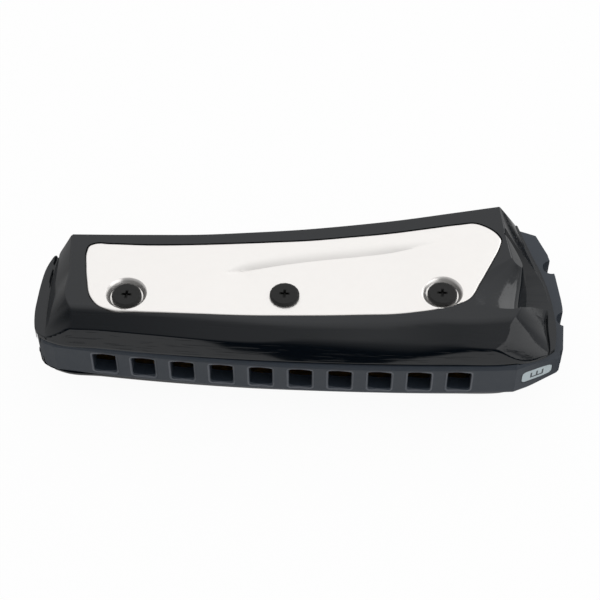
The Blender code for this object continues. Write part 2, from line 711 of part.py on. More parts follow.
def shoulder_tool(side):
    """Takes the bevelled corner down from the seam to the flange on one side, along a slanted plane."""
    seam_start = Vector((*SHOULDER_START, BODY_HALF_HEIGHT))
    seam_end = Vector((*SHOULDER_END, BODY_HALF_HEIGHT))
    tip = Vector((*BEVEL_END, FLANGE_HALF_HEIGHT + SHOULDER_STEP))
    along = seam_end - seam_start
    across = tip - seam_start
    across -= along * (across.dot(along) / along.dot(along))
    corners = []
    for share, outward in ((-0.6, -0.2), (1.3, -0.2), (1.3, 3), (-0.6, 3)):
        corners.append(seam_start + along * share + across * outward)
    lifted = [p + Vector((0, 0, THROUGH)) for p in corners]
    rings = [[(p.x, p.y, p.z * side) for p in ring] for ring in (corners, lifted)]
    return rings_solid("shoulder_tool", rings)


def build_comb(finish):
    """One moulding: mouth side, channels, decks for the reed plates and the notched flange."""
    outline = body_outline()
    eased = inset(outline, NOSE_EDGE * 0.3)
    top = inset(outline, NOSE_EDGE)
    high, low = BODY_HALF_HEIGHT, BODY_HALF_HEIGHT - NOSE_EDGE_RISE
    sections = [(top, -high), (eased, -(high + low) / 2), (outline, -low), (outline, low), (eased, (high + low) / 2),
                (top, high)]
    comb = rings_solid("comb", [[(p.x, p.y, z) for p in ring] for ring, z in sections])
    for side in (1, -1):
        combine(comb, shoulder_tool(side))
    flange = prism("flange_tool", flange_outline(), -FLANGE_HALF_HEIGHT, FLANGE_HALF_HEIGHT)
    for x, y, radius in NOTCHES:
        combine(flange, bore_tool((x, y), radius, NOTCH_SIDES))
    combine(comb, flange, "UNION")
    ledge = inset(cover_base_outline(), -COVER_SEAM_GAP)
    deck = inset(plate_outline(), -SEAT_GAP)
    for side in (-1, 1):
        for outline, level in ((ledge, LEDGE_Z), (deck, DECK_Z)):
            low, high = sorted((side * level, side * THROUGH))
            combine(comb, prism("deck_tool", outline, low, high))
    for number in range(1, HOLE_COUNT + 1):
        x, half = hole_x(number), CHANNEL_WIDTH / 2
        front, back = nose_y(x) + CHANNEL_START, channel_end_y(number)
        channel = [(x - half, front), (x + half, front), (x + half, back), (x - half, back)]
        combine(comb, prism("channel_tool", channel, -THROUGH, THROUGH))
        combine(comb, mouth_tool(number))
    for tool in layer_bores():
        combine(comb, tool)
    combine(comb, badge_solid("badge_recess", SEAT_GAP, BADGE_THICKNESS + SEAT_GAP))
    return only_material(comb, finish)


def badge_solid(name, grow, depth, finish=None):
    """The key badge's rounded tapering tile on the bevelled corner; grow and depth shape its recess."""
    start, end = Vector(BEVEL_START), Vector(BEVEL_END)
    along = (end - start).normalized()
    outward = Vector((along.y, -along.x))
    middle = start.lerp(end, 0.5)
    half = BADGE_LENGTH / 2
    corners = [(-half, -BADGE_HEIGHT / 2), (half, -BADGE_TIP_HEIGHT / 2), (half, BADGE_TIP_HEIGHT / 2),
               (-half, BADGE_HEIGHT / 2)]
    section = []
    for i, (u, w) in enumerate(corners):
        centre = Vector((u - math.copysign(BADGE_CORNER, u), w - math.copysign(BADGE_CORNER, w)))
        for step in range(BADGE_CORNER_STEPS + 1):
            angle = math.pi / 2 * (2 + i + step / BADGE_CORNER_STEPS)
            section.append(centre + Vector((math.cos(angle), math.sin(angle))) * (BADGE_CORNER + grow))
    rings = []
    for offset in (-depth, BADGE_THICKNESS if grow else 0.0):
        ring = []
        for spot in section:
            foot = middle + along * spot.x + outward * offset
            ring.append((foot.x, foot.y, spot.y))
        rings.append(ring)
    return rings_solid(name, rings, finish)


def slot_outline(number, root_y, toward):
    """The slot that a reed swings through, from its root bridge to just past its tip."""
    x, half = hole_x(number), REED_WIDTH / 2 + REED_SIDE_GAP
    near = root_y + toward * ROOT_BRIDGE
    far = root_y + toward * (reed_length(number) + REED_SIDE_GAP)
    low, high = sorted((near, far))
    return [(x - half, low), (x + half, low), (x + half, high), (x - half, high)]


def build_plate(name, side, root_of, toward, finish):
    """Brass reed plate; side is 1 for the upper plate and -1 for the lower one."""
    inner = DECK_Z + SEAT_GAP
    low, high = sorted((side * inner, side * (inner + PLATE_THICKNESS)))
    plate = prism(name, plate_outline(), low, high)
    tools = []
    for number in range(1, HOLE_COUNT + 1):
        root_y = root_of(number)
        tools.append(prism("slot_tool", slot_outline(number, root_y, toward), -THROUGH, THROUGH))
        tools.append(bore_tool((hole_x(number), root_y), RIVET_RADIUS + RIVET_CLEARANCE, RIVET_SIDES))
    for tool in tools + layer_bores():
        combine(plate, tool)
    return only_material(plate, finish)


def build_reed(name, number, place, toward, finish):
    """A flat tongue that tapers to its tip, with a wider pad held by its rivet. Its origin is on its hinge axis."""
    pad, root, tip = PAD_WIDTH / 2, REED_WIDTH / 2, REED_TIP_WIDTH / 2
    half = [(-PAD_HALF_LENGTH, pad), (PAD_HALF_LENGTH, pad), (ROOT_BRIDGE, root), (reed_length(number), tip)]
    outline = [(w, toward * along) for along, w in half]
    outline += [(-w, toward * along) for along, w in reversed(half)]
    reed = prism(name, outline, -REED_THICKNESS / 2, REED_THICKNESS / 2)
    combine(reed, bore_tool((0, 0), RIVET_RADIUS + RIVET_CLEARANCE, RIVET_SIDES))
    reed.location = place
    return only_material(reed, finish)


def rivet_mesh(finish):
    """One rivet, with its foot in the plate's bottom face at the origin."""
    head = PLATE_THICKNESS + REED_LIFT + REED_THICKNESS + SEAT_GAP
    profile = [(RIVET_RADIUS, SEAT_GAP / 2), (RIVET_RADIUS, head), (RIVET_HEAD_RADIUS, head),
               (RIVET_HEAD_RADIUS * 0.9, head + RIVET_HEAD_HEIGHT * 0.6),
               (RIVET_HEAD_RADIUS * 0.5, head + RIVET_HEAD_HEIGHT)]
    return shared_mesh(turned("rivet", (0, 0), profile, RIVET_SIDES, finish))


def build_reeds(reed_finish, rivet_finish):
    """Draw reeds lie on the upper plate's outer face, blow reeds on the lower plate's inner face."""
    rivet = rivet_mesh(rivet_finish)
    draw_plate_z = DECK_Z + SEAT_GAP
    blow_plate_z = -(DECK_Z + SEAT_GAP + PLATE_THICKNESS)
    lift = PLATE_THICKNESS + REED_LIFT + REED_THICKNESS / 2
    kinds = (("draw", draw_plate_z, draw_rivet_y, 1), ("blow", blow_plate_z, blow_rivet_y, -1))
    for kind, plate_z, root_of, toward in kinds:
        for number in range(1, HOLE_COUNT + 1):
            foot = Vector((hole_x(number), root_of(number), plate_z))
            build_reed(f"{kind}_reed_{number}", number, foot + Vector((0, 0, lift)), toward, reed_finish)
            placed(f"{kind}_rivet_{number}", rivet, foot)


def cross_tool(top, length, width, depth):
    """Two tapering crossed blades for a cross-head recess that ends depth below top."""
    foot = (length / 2 * CROSS_FOOT_LENGTH_SHARE, width / 2 * CROSS_FOOT_WIDTH_SHARE, top - depth)
    head = (length / 2, width / 2, top + depth)
    blades = []
    for turn in (0, 1):
        rings = []
        for half_length, half_width, z in (foot, head):
            sizes = (half_length, half_width) if turn == 0 else (half_width, half_length)
            rings.append([(a * sizes[0], b * sizes[1], z) for a, b in ((-1, -1), (1, -1), (1, 1), (-1, 1))])
        blades.append(rings_solid("blade_tool", rings))
    return combine(blades[0], blades[1], "UNION")


def cover_screw_mesh(finish):
    """Thin-headed cross-head screw, with the underside of its head at the origin."""
    head, tip = SCREW_HEAD_RADIUS, SCREW_TIP_Z - SCREW_SEAT_Z - SEAT_GAP / 2
    profile = [(SCREW_SHANK_RADIUS * SCREW_TIP_SHARE, tip), (SCREW_SHANK_RADIUS, tip + SCREW_TIP_LENGTH),
               (SCREW_SHANK_RADIUS, 0), (head, 0), (head, SCREW_HEAD_HEIGHT - SCREW_EDGE),
               (head * SCREW_CROWN_SHARE, SCREW_HEAD_HEIGHT)]
    screw = turned("cover_screw", (0, 0), profile, SCREW_SIDES)
    combine(screw, cross_tool(SCREW_HEAD_HEIGHT, CROSS_LENGTH, CROSS_WIDTH, CROSS_DEPTH))
    return shared_mesh(only_material(screw, finish))


def plate_screw_mesh(finish):
    """Small cross-head screw for the reed plates, with the underside of its head at the origin."""
    shank, head = PLATE_SCREW_SHANK_RADIUS, PLATE_SCREW_HEAD_RADIUS
    profile = [(shank, -PLATE_SCREW_LENGTH), (shank, 0), (head, 0),
               (head, PLATE_SCREW_HEAD_HEIGHT - PLATE_SCREW_EDGE),
               (head * PLATE_SCREW_CROWN_SHARE, PLATE_SCREW_HEAD_HEIGHT)]
    screw = turned("plate_screw", (0, 0), profile, PLATE_SCREW_SIDES)
    combine(screw, cross_tool(PLATE_SCREW_HEAD_HEIGHT, PLATE_CROSS_LENGTH, PLATE_CROSS_WIDTH, PLATE_CROSS_DEPTH))
    return shared_mesh(only_material(screw, finish))


def place_screws(kind, mesh, places, seat_z):
    """Puts a screw at every place on both sides; those below are turned over."""
    for side, turned_over in (("upper", False), ("lower", True)):
        for index, (x, y) in enumerate(places, 1):
            placed(f"{side}_{kind}_{index}", mesh, (x, y, -seat_z if turned_over else seat_z), turned_over)


def stand_on_base():
    """Parents every piece to one empty, placed so that the part stands on Z = 0, centred in X and Y."""
    outlines = body_outline() + [Vector(p) for p in flange_outline()]
    xs, ys = [p.x for p in outlines], [p.y for p in outlines]
    frame = bpy.data.objects.new("frame", None)
    bpy.context.scene.collection.objects.link(frame)
    for obj in bpy.context.scene.objects:
        if obj is not frame:
            obj.parent = frame
    frame.location = (-(min(xs) + max(xs)) / 2, -(min(ys) + max(ys)) / 2, COVER_TOP_Z)
    return frame


def main():
    clear_scene()
    satin = material("satin_black", (0.035, 0.037, 0.042), 0.45)
    gloss = material("gloss_black", (0.012, 0.014, 0.016), 0.12)
    nickel = material("pearl_nickel", (0.86, 0.83, 0.81), 0.38, 0.8)
    brass = material("plate_brass", (0.78, 0.62, 0.33), 0.35, 1.0)
    steel = material("reed_steel", (0.72, 0.72, 0.70), 0.3, 1.0)
    screw_black = material("screw_black", (0.02, 0.022, 0.024), 0.4, 0.6)
    badge_grey = material("badge_grey", (0.62, 0.68, 0.69), 0.5)

    build_comb(satin)
    mirrored(build_cover(gloss), "lower_cover")
    mirrored(build_inlay(nickel), "lower_inlay")
    place_screws("cover_screw", cover_screw_mesh(screw_black), cover_screw_places(), SCREW_SEAT_Z + SEAT_GAP / 2)
    place_screws("plate_screw", plate_screw_mesh(steel), plate_screw_places(), LEDGE_Z + SEAT_GAP / 2)
    build_plate("draw_reed_plate", 1, draw_rivet_y, 1, brass)
    build_plate("blow_reed_plate", -1, blow_rivet_y, -1, brass)
    build_reeds(steel, brass)
    badge_solid("key_badge", 0.0, BADGE_THICKNESS, badge_grey)

    for obj in bpy.context.scene.objects:
        shade(obj)
    stand_on_base()


main()
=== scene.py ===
"""Looks of the ten-hole harmonica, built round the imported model.

Shapes are written in millimetres in a drawing frame, whose origin is the centre cover screw on the comb's
middle plane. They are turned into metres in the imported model's frame when they are handed over.
"""

import math

import bmesh
import bpy
import numpy as np
from mathutils import Matrix, Vector
from mathutils.geometry import delaunay_2d_cdt


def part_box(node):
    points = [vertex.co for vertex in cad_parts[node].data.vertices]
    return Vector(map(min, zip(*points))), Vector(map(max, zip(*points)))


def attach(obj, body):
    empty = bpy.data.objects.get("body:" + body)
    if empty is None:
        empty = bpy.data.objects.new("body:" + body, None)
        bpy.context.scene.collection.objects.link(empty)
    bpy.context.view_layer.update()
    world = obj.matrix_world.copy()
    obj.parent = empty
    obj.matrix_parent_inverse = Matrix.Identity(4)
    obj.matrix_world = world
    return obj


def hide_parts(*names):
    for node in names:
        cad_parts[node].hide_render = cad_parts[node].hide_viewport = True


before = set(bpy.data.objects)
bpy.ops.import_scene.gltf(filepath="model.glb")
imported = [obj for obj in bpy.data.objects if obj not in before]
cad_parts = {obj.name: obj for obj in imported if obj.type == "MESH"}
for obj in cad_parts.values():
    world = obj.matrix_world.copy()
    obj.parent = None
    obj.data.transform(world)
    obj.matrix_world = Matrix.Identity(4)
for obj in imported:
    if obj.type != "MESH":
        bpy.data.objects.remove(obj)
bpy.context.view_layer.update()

MM = 0.001

# The drawing frame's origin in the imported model: half way between the upper and lower centre cover screws
upper_low, upper_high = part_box("upper_cover_screw_2")
lower_low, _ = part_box("lower_cover_screw_2")
ORIGIN = (upper_low + upper_high) / 2
ORIGIN.z = (upper_high.z + lower_low.z) / 2
TO_MODEL = Matrix.Translation(ORIGIN) @ Matrix.Scale(MM, 4)

# Camera
CAMERA_ELEVATION = math.radians(50.0)
CAMERA_AZIMUTH = math.radians(3.9)
CAMERA_DISTANCE = 286 * MM
CAMERA_FOCUS_PIXELS = 1515
CAMERA_AIM = Vector((0, 0, 11 * MM))
CAMERA_AIM_PIXEL = (284.5, 293.4)
IMAGE_SIZE = 600
SENSOR = 36.0

# The sky that shiny surfaces see: brightest along its axis, dark at the horizon, with a bright patch low at
# the back right. Each pair is where a smooth step starts and ends.
SKY_LEVEL = 1.02
SKY_AXIS = (0.0, 0.45, 0.89)
SKY_FADE = (-0.5, 1.0)
HORIZON_LEVEL = 0.02
PATCH_DIRECTION = (0.9, 0.43, 0.0)
PATCH_FADE = (0.5, 0.8)
PATCH_TOP = (0.1, 0.35)

# Lamps as (name, azimuth, elevation, distance, width, height, radiance)
SOFTBOXES = [("lamp_right", 134, 27, 0.8, 0.4, 0.3, 1.4), ("lamp_side", 60, 26, 0.8, 0.9, 0.4, 1.05)]

# The floor's edges in metres from the origin, its paint, and how much of it glows
FLOOR_FRONT = 0.125
FLOOR_HALF_WIDTH = 0.13
FLOOR_BACK = 0.2
FLOOR_PAINT = 0.9
FLOOR_GLOW = 0.95

# How bright shiny surfaces see the floor in front of the object, behind it to the left and right, and in a
# patch beyond its left end, and where in x or y these meet; then the dark round patch beside its right end
FRONT_LEVEL = 0.9
FRONT_FADE = (-0.03, -0.01)
BACK_LEFT_LEVEL = 0.27
BACK_RIGHT_LEVEL = 0.65
BACK_FADE = (-0.02, 0.03)
LEFT_LEVEL = 1.2
LEFT_FADE = (-0.1, -0.08)
LEFT_BACK_FADE = (-0.005, 0.015)
SHADE_CENTRE = (0.062, -0.004)
SHADE_RADIUS = 0.064
SHADE_CORE = 0.85
SHADE_LEFT_FADE = (0.05, 0.06)

# Numbers from here to the finishes are millimetres in the drawing frame, and z is up from the comb's middle
# plane.

# Heights and thicknesses of a cover
COVER_FOOT = 4.1
SEAM_EDGE = 4.5
LIP_TOP = 5.0
TOP = 11.3
SHELL = 1.5
SKIRT_BOTTOM = 2.2
INLAY_SHEET = 0.6
GAP = 0.1

# Lines in plan as (x, y): the cover's front and rear edges, and the foot and crest of the thumb rest's step
SEAM = [(-47.3, -6.6), (-46.4, -8.0), (-45.0, -8.9), (-42.5, -9.75), (-34.8, -10.15), (-27.5, -10.55),
        (-15.2, -10.95), (-3.8, -11.05), (3.7, -10.95), (11.2, -10.75), (22.4, -10.3), (33, -9.65),
        (41.1, -9.05), (45.2, -8.4), (48.2, -7.4), (50.2, -6.2), (51.4, -5.1)]
REAR = [(-46.5, 12.1), (-42.5, 12.3), (-27.3, 13.2), (-17.6, 13.9), (-7.9, 15.1), (1.8, 16.5),
        (11.5, 18.3), (21.3, 20.4), (31.1, 22.9), (40.4, 25.3), (45.5, 26.6)]
THUMB_FOOT = [(-14, 3.2), (-11.4, 4.4), (-8.9, 5.3), (-1.4, 7.6), (6.2, 9.4), (13.8, 10.9), (21.5, 12.7),
              (28.6, 14.9), (33, 16.2)]
THUMB_CREST = [(-14, 4.0), (-11.4, 5.1), (-9.1, 7.0), (-3.5, 9.3), (2.2, 11.0), (9.8, 12.6), (17.5, 14.1),
               (23.3, 15.0), (28.5, 15.9), (33, 16.9)]

# The thumb rest: how deep it is, where it ends, how long its end ramps are, how its step curls, and how
# much longer the left ramp gets towards the front
THUMB_DEPTH = 1.1
THUMB_SPAN = (-13.0, 32.0)
THUMB_RAMPS = (6.0, 14.0)
THUMB_CURL = 1.8
THUMB_SPREAD = 1.4

# The front face along x: height of the crease, and the slopes in degrees above the seam, below the crease
# and of the band above it; then how softly the crease and the top of the band are rounded
CREASE_Z = [(-48, 7.9), (-39.7, 8.06), (-34.8, 8.15), (-22.8, 8.2), (-15, 8.0), (-7.7, 7.75), (3.5, 8.1),
            (11, 8.0), (18.4, 7.8), (25.9, 7.55), (33, 7.9), (41, 7.6), (51, 7.0)]
SEAM_SLOPE = [(-48, 70), (-20, 70), (-12, 70), (-4, 70), (3.5, 67.5), (11, 67.5), (18, 68), (26, 72),
              (33, 74), (51, 74)]
FACE_SLOPE = [(-48, 70), (-20, 70), (-12, 68.5), (-8, 66.5), (-4, 65.5), (3.5, 61), (11, 60), (18, 60),
              (26, 62), (33, 66), (38, 69), (51, 71)]
BAND_SLOPE = [(-48, 50), (-40, 50), (-28, 48), (-15, 45), (3.5, 42), (18.4, 38), (33, 43), (40, 41),
              (51, 40)]
CREASE_ROUND = [(-48, 0.12), (-20, 0.12), (-5, 0.2), (10, 0.5), (25, 0.9), (32, 0.5), (38, 0.25),
                (51, 0.2)]
TOP_ROUND = [(-48, 0.5), (-30, 0.6), (0, 0.5), (51, 0.5)]

# Ends of the cover as (y, x): outer edge, inner line of the lip and the top edge of the end facet
LEFT_OUTER = [(-6.6, -47.3), (-5.1, -47.6), (-2.86, -47.9), (0.88, -48.0), (4.6, -47.95), (8.4, -47.6),
              (10.6, -47.0), (12.1, -46.4)]
LEFT_INNER = [(-9.2, -44.6), (-8.1, -45.0), (-4.7, -45.45), (2.8, -46.0), (8, -46.1), (12.2, -45.9)]
LEFT_TOP = [(-9.5, -34.5), (-8, -37), (-6.5, -39.4), (-5.1, -40.4), (3.1, -41.4), (12.3, -42.5)]
RIGHT_OUTER = [(-5.1, 51.4), (-1.0, 51.8), (3.8, 51.5), (8.85, 50.7), (13.3, 49.5), (18.8, 47.5),
               (26.5, 44.9)]
RIGHT_INNER = [(-7.5, 49.7), (-5.9, 50.15), (-0.7, 49.9), (2, 49.9), (5, 50.6), (8.8, 50.3), (13.3, 49.1),
               (18.8, 47.1), (23, 45.7), (26.5, 44.6)]
RIGHT_TOP = [(-9.5, 31.5), (-8.4, 32.7), (-7, 36.4), (-6, 38.8), (-4.3, 41.9), (-1.2, 44.2), (3, 44.4),
             (8.8, 43.6), (13.3, 42.7), (18.8, 41.8), (26.5, 40.7)]
RIGHT_BASE = [(-9.5, 1.2), (-8.4, 2.4), (-7, 4.2), (-5.9, 4.7), (-4.3, 4.95), (-3, 5.0)]
LEFT_ROUND = 0.25
RIGHT_ROUND = 0.25

# The groove inside each end lip: its depth, its half width by y, how softly it ends, and where the right
# one ends
GROOVE_DEPTH = 0.9
GROOVE_REACH = 1.2
LEFT_GROOVE = [(-9, 0.1), (0, 0.16), (6, 0.2), (9, 0.34), (11.3, 0.45), (12.3, 0.3)]
RIGHT_GROOVE = [(-8, 0.1), (-5, 0.16), (3.7, 0.2)]
RIGHT_GROOVE_END = 4.0
RIGHT_GROOVE_FADE = 2.0
SEAM_LEDGE = 0.15

# Scoop at the right end, as (y, value): its floor, the top of its wall, the wall's foot and its width. Then
# the wall's rise as (share of the width, share of the height), the slope above it, and the scoop's front
# edge in plan.
SCOOP_FLOOR = [(-2, 5.15), (8, 5.15), (12, 5.7), (15, 7.3), (18, 9.6), (21.5, 12.2)]
SCOOP_RIM = [(-2, 10.85), (9, 10.9), (12, 11.2), (14, 11.35)]
SCOOP_SLOPE = 0.24
SCOOP_FOOT = [(-2, 45.9), (2.5, 46.1), (4.8, 46.25), (8.8, 46.35), (12, 45.8), (14, 44.8), (16.5, 43.2),
              (18, 42)]
SCOOP_WIDTH = [(-2, 8.3), (0, 8.2), (3, 8.1), (6.5, 6.9), (9, 5.0), (10.9, 3.2), (13, 1.6), (15, 0.9),
               (18, 0.6)]
SCOOP_WALL = [(0, 0), (0.03, 0.07), (0.24, 0.62), (0.28, 0.68), (0.45, 0.8), (0.66, 0.92), (0.85, 0.98),
              (1, 1)]
SCOOP_FRONT = [(36, -0.6), (38, -0.75), (41.5, -1.15), (43.8, -0.85), (45, -0.1), (46.3, 1.3), (49.3, 3.6),
               (53, 5.5)]
SCOOP_END = 21.5
SCOOP_SIDES = (36.0, 53.5)
SCOOP_COLUMNS = (5, 30, 18)
SCOOP_ROWS = 64
SCOOP_VOID_START = 33

# The inlay's outline in plan, and the spacing of the points along it
INLAY_OUTLINE = [(-38.5, 4.3), (-38.9, 7.8), (-38.6, 9.3), (-37.4, 10.0), (-34.7, 10.1), (-26.9, 10.3),
                 (-19.2, 10.9), (-11.5, 11.7), (-3.8, 12.6), (4, 13.6), (11.7, 15.0), (19.4, 16.5),
                 (27.2, 18.4), (33, 19.8), (36, 20.3), (38.2, 19.5), (40.2, 17.9), (41.1, 16.2),
                 (40.8, 14.5), (39.2, 10.3), (36.9, 5.0), (34.9, 0.9), (32.2, -0.8), (28.6, -2.0),
                 (23.8, -2.75), (16.3, -3.4), (8.9, -4.1), (1.4, -4.75), (-6, -5.4), (-13.5, -5.9),
                 (-21, -6.3), (-27.5, -6.5), (-32.3, -6.4), (-34.7, -5.5), (-36.4, -3.6), (-37.8, 0.8)]
OUTLINE_SPACING = 0.45

# Surfaces that faces keep through the cuts, so that each gets its own smooth normals
SURFACES = PLAIN, SKIN, SCOOP = range(3)
SHARP_ANGLE = math.radians(35)

# Steps over which slopes are measured, and how far inside a face the normal of its corner is read
NORMAL_STEP = 0.01
WALL_STEP = 0.05
CORNER_NUDGE = 0.02

# The cover's mesh: columns and rows between the lines that follow its creases, how far those lines stay
# beside them, the first guess of the plan as (start, length), and how often the guess is bettered
COLUMN_COUNTS = (4, 3, 9, 4, 80, 4, 18, 3, 4)
ROW_COUNTS = (9, 3, 7, 5, 10, 4, 12, 4)
LIP_LEAST = 0.15
LIP_SIDE = 0.35
LIP_SHARE = 0.1
LEFT_TOP_SIDES = (0.6, 1.0)
RIGHT_TOP_SIDE = 0.3
CREASE_SIDE = 0.25
TOP_SIDES = (0.6, 0.9)
CREST_LEAST = 0.5
REAR_SIDE = 1.0
LINE_LEAST = 0.02
FIRST_X = (-50, 100)
FIRST_Y = (-8, 30)
GUESSES = 12
REAR_DROPS = (0.12, 0.35)

# Cover screws as (x, y), where their heads sit, and the dimples round the outer two
SCREW_ROW = (29.75, 2.2015)
SCREWS = [(side * SCREW_ROW[0], side * SCREW_ROW[1]) for side in (-1, 0, 1)]
SCREW_SEAT = TOP - THUMB_DEPTH
SHANK_HOLE = 0.87
BORE_SIDES = 20
DIMPLE_FLOOR = 3.05
DIMPLE_RIM = 3.95

# Inside the cover: the screws' posts as (radius, height) up to the skin they leave, the rear opening, the
# inlay's pocket as its least height, its clearance and its mesh, and how far the cutting tools reach past
# the cover
POST_SIDES = 32
POST = [(2.15, COVER_FOOT), (2.15, 7.6), (4.9, 8.8)]
POST_SKIN = 1.0
REAR_HALF = 37
REAR_REACH = 4
REAR_TOP = 9.3
POCKET_LEAST = 8.5
POCKET_GAP = 0.15
POCKET_X = (-41.0, 43.5, 90)
POCKET_Y = (-9.0, 23.0, 50)
VOID_LEAST = 0.2
TOOL_LOW = -1
TOOL_HIGH = 16
TOOL_MARGIN = 30
THROUGH = 20.0

# The comb's body in plan: its mouth side as (foremost y, x there, divisor of the arc), and points of its
# ends
NOSE = (-11.7, -1.5, 910)
NOSE_X = range(-40, 41, 4)
COMB_FRONT_RIGHT = [(44.4, -9.3), (52.6, -5.1), (51.2, -3.9), (50.0, -2.6)]
COMB_RIGHT_Y = (1.2, 6.0, 10.8, 15.4, 20.2, 24.3)
COMB_BACK_X = range(40, -44, -6)
COMB_BACK_GAP = 0.6
COMB_LEFT_Y = (11.2, 9.9, 7.6, 4.6, 1.8, -1.0, -3.8)
COMB_FRONT_LEFT = [(-47.6, -5.0), (-46.8, -7.3), (-45.5, -8.9), (-43.4, -9.75)]

# How far the lower cover's front leans back, over what height and reach, and how much earlier and further at
# its right corner; then how its left end moves in. Starts and lengths are along x.
LEAN = 1.5
LEAN_HEIGHT = 3.6
LEAN_REACH = 7.5
CORNER_START = 41
CORNER_LENGTH = 6
CORNER_EARLIER = 0.5
CORNER_REACH = 5
LEFT_SHIFT = 0.5
LEFT_START = -38
LEFT_LENGTH = 8
LEFT_HEIGHT = 0.25

# The inlay's rolled edge as (distance in from the outline, drop), the rings of its mesh round the screws,
# the mesh along the thumb rest's step as (step along x, shares from foot to crest), and the plain mesh
# between
EDGE_ROLL = [(0, 0.35), (0.05, 0.17), (0.12, 0.086), (0.22, 0.025), (0.35, 0)]
DIMPLE_RINGS = (SHANK_HOLE, 1.6, 2.3, 2.9, 3.1, 3.3, 3.5, 3.7, 3.9, 4.1, 4.5)
PLAIN_RINGS = (SHANK_HOLE, 1.4)
SCREW_RINGS = (DIMPLE_RINGS, PLAIN_RINGS, DIMPLE_RINGS)
RING_SIDES = 40
RING_GAP = 0.2
STEP_MESH = 0.7
STEP_SHARES = (-0.12, 0, 0.12, 0.28, 0.48, 0.72, 1)
STEP_GAP = 0.5
PLAIN_MESH = 1.1
EDGE_GAP = 0.4
INLAY_X = (-37.5, 41.5)
INLAY_Y = (-6, 20.5)

# The mouth side's holes, with the painted highlight of the rounded rim round each as smooth steps over the
# distance from its edge
HOLE_COUNT = 10
HOLE_PITCH = 7.5
HOLE_HALF = (2.3, 2.75)
HOLE_CORNER = 0.5
RIM_START = (-0.15, 0.02)
RIM_END = (0.16, 0.34)
ROW_END = 0.3
NOSE_DEPTH = (-9.4, -8.9)

# The badge on the bevelled corner, its border, and its letter's strokes as (middle along the badge, bottom,
# half width, top)
BADGE_CENTRE = (48.36, -6.93)
BADGE_DIRECTION = (0.890, 0.456)
BADGE_HALF = (3.4, 1.7)
BADGE_CORNER = 1.0
BORDER_FADE = (-0.32, -0.14)
LETTER = [(0, -0.8, 1.4, -0.45), (-1.22, -0.8, 0.18, 0.7), (0, -0.8, 0.18, 0.7), (1.22, -0.8, 0.18, 0.7)]
STROKE_CORNER = 0.05
STROKE_FADE = (-0.05, 0.05)

# The worn shelf of the scoop, and the painted shade of the cross in the cover screws
SHELF_HEIGHT = (5.6, 6.2)
SHELF_X = (46.0, 46.4)
SHELF_Y = (1.0, 2.0)
CROSS_HALF = (1.05, 0.3)
CROSS_CORNER = 0.1
CROSS_FADE = (-0.05, 0.06)

# Finishes: colours as linear red, green and blue; hairline scratches as turns and stretches of a noise, its
# size in millimetres and where it starts to show; the depth of all relief; and the roughness added where a
# surface is worn, with the least and the spread of a finish's own roughness as shares of it
SATIN_BLACK = (0.018, 0.026, 0.038)
# Painted highlight colour for the rounded rims of the mouth holes
RIM_HIGHLIGHT_GREY = (0.11, 0.12, 0.14)
GLOSS_BLACK = (0.0012, 0.003, 0.0055)
PEARL_NICKEL = (0.91, 0.888, 0.865)
BRASS = (0.72, 0.5, 0.2)
REED_STEEL = (0.62, 0.6, 0.55)
SCREW_BLACK = (0.013, 0.013, 0.013)
# Painted shade colour for the cross recess of the cover screws
RECESS_SHADE_BLACK = (0.001, 0.001, 0.001)
SCREW_STEEL = (0.5, 0.5, 0.48)
BADGE_GREY = (0.52, 0.6, 0.63)
BADGE_INK = (0.05, 0.06, 0.07)
HAIRS = ((0.4, 0.02), (-0.9, 0.03), (1.8, 0.025))
HAIR_SIZE = 0.35
HAIR_FADE = (0.66, 0.72)
RELIEF = 0.02
WORN_ROUGHNESS = 0.4
ROUGH_LEAST = 0.85
ROUGH_SPREAD = 0.3


def curve(points, x):
    """Smooth curve through (parameter, value) points, read at an array of parameters and held at its ends."""
    ps, vs = np.array(points, float).T
    slopes = np.gradient(vs, ps)
    x = np.clip(x, ps[0], ps[-1])
    k = np.clip(np.searchsorted(ps, x) - 1, 0, len(ps) - 2)
    span = ps[k + 1] - ps[k]
    t = (x - ps[k]) / span
    return ((2 * t**3 - 3 * t**2 + 1) * vs[k] + (t**3 - 2 * t**2 + t) * span * slopes[k]
            + (3 * t**2 - 2 * t**3) * vs[k + 1] + (t**3 - t**2) * span * slopes[k + 1])


def smooth(t):
    """Smooth step from 0 to 1 as t goes from 0 to 1."""
    t = np.clip(t, 0, 1)
    return t * t * (3 - 2 * t)


def soft_min(a, b, k):
    """The lower of two heights, with the crease between them rounded over about k."""
    h = np.clip(0.5 + 0.5 * (b - a) / k, 0, 1)
    return b * (1 - h) + a * h - k * h * (1 - h)


def cot(degrees):
    """The run of a slope for each unit of its rise."""
    return 1 / np.tan(np.radians(degrees))


def crease_line(x):
    """Where the crease of the front face is, and its height."""
    height = curve(CREASE_Z, x)
    mean = (curve(SEAM_SLOPE, x) + curve(FACE_SLOPE, x)) / 2
    return curve(SEAM, x) + (height - SEAM_EDGE) * cot(mean), height


def band_top_y(x):
    """Where the band above the crease reaches the top."""
    y, z = crease_line(x)
    return y + (TOP - z) * cot(curve(BAND_SLOPE, x))


def thumb_dip(x, y):
    """How far the thumb rest lies below the top: a step down from crest to foot, then level to the front."""
    foot, crest = curve(THUMB_FOOT, x), curve(THUMB_CREST, x)
    spread = THUMB_SPREAD * np.maximum(foot - y, 0)
    start = smooth((x - THUMB_SPAN[0] + spread) / (THUMB_RAMPS[0] + 2 * spread))
    along = start * smooth((THUMB_SPAN[1] - x) / THUMB_RAMPS[1])
    share = np.clip((crest - y) / (crest - foot), 0, 1)
    return THUMB_DEPTH * along * share ** THUMB_CURL


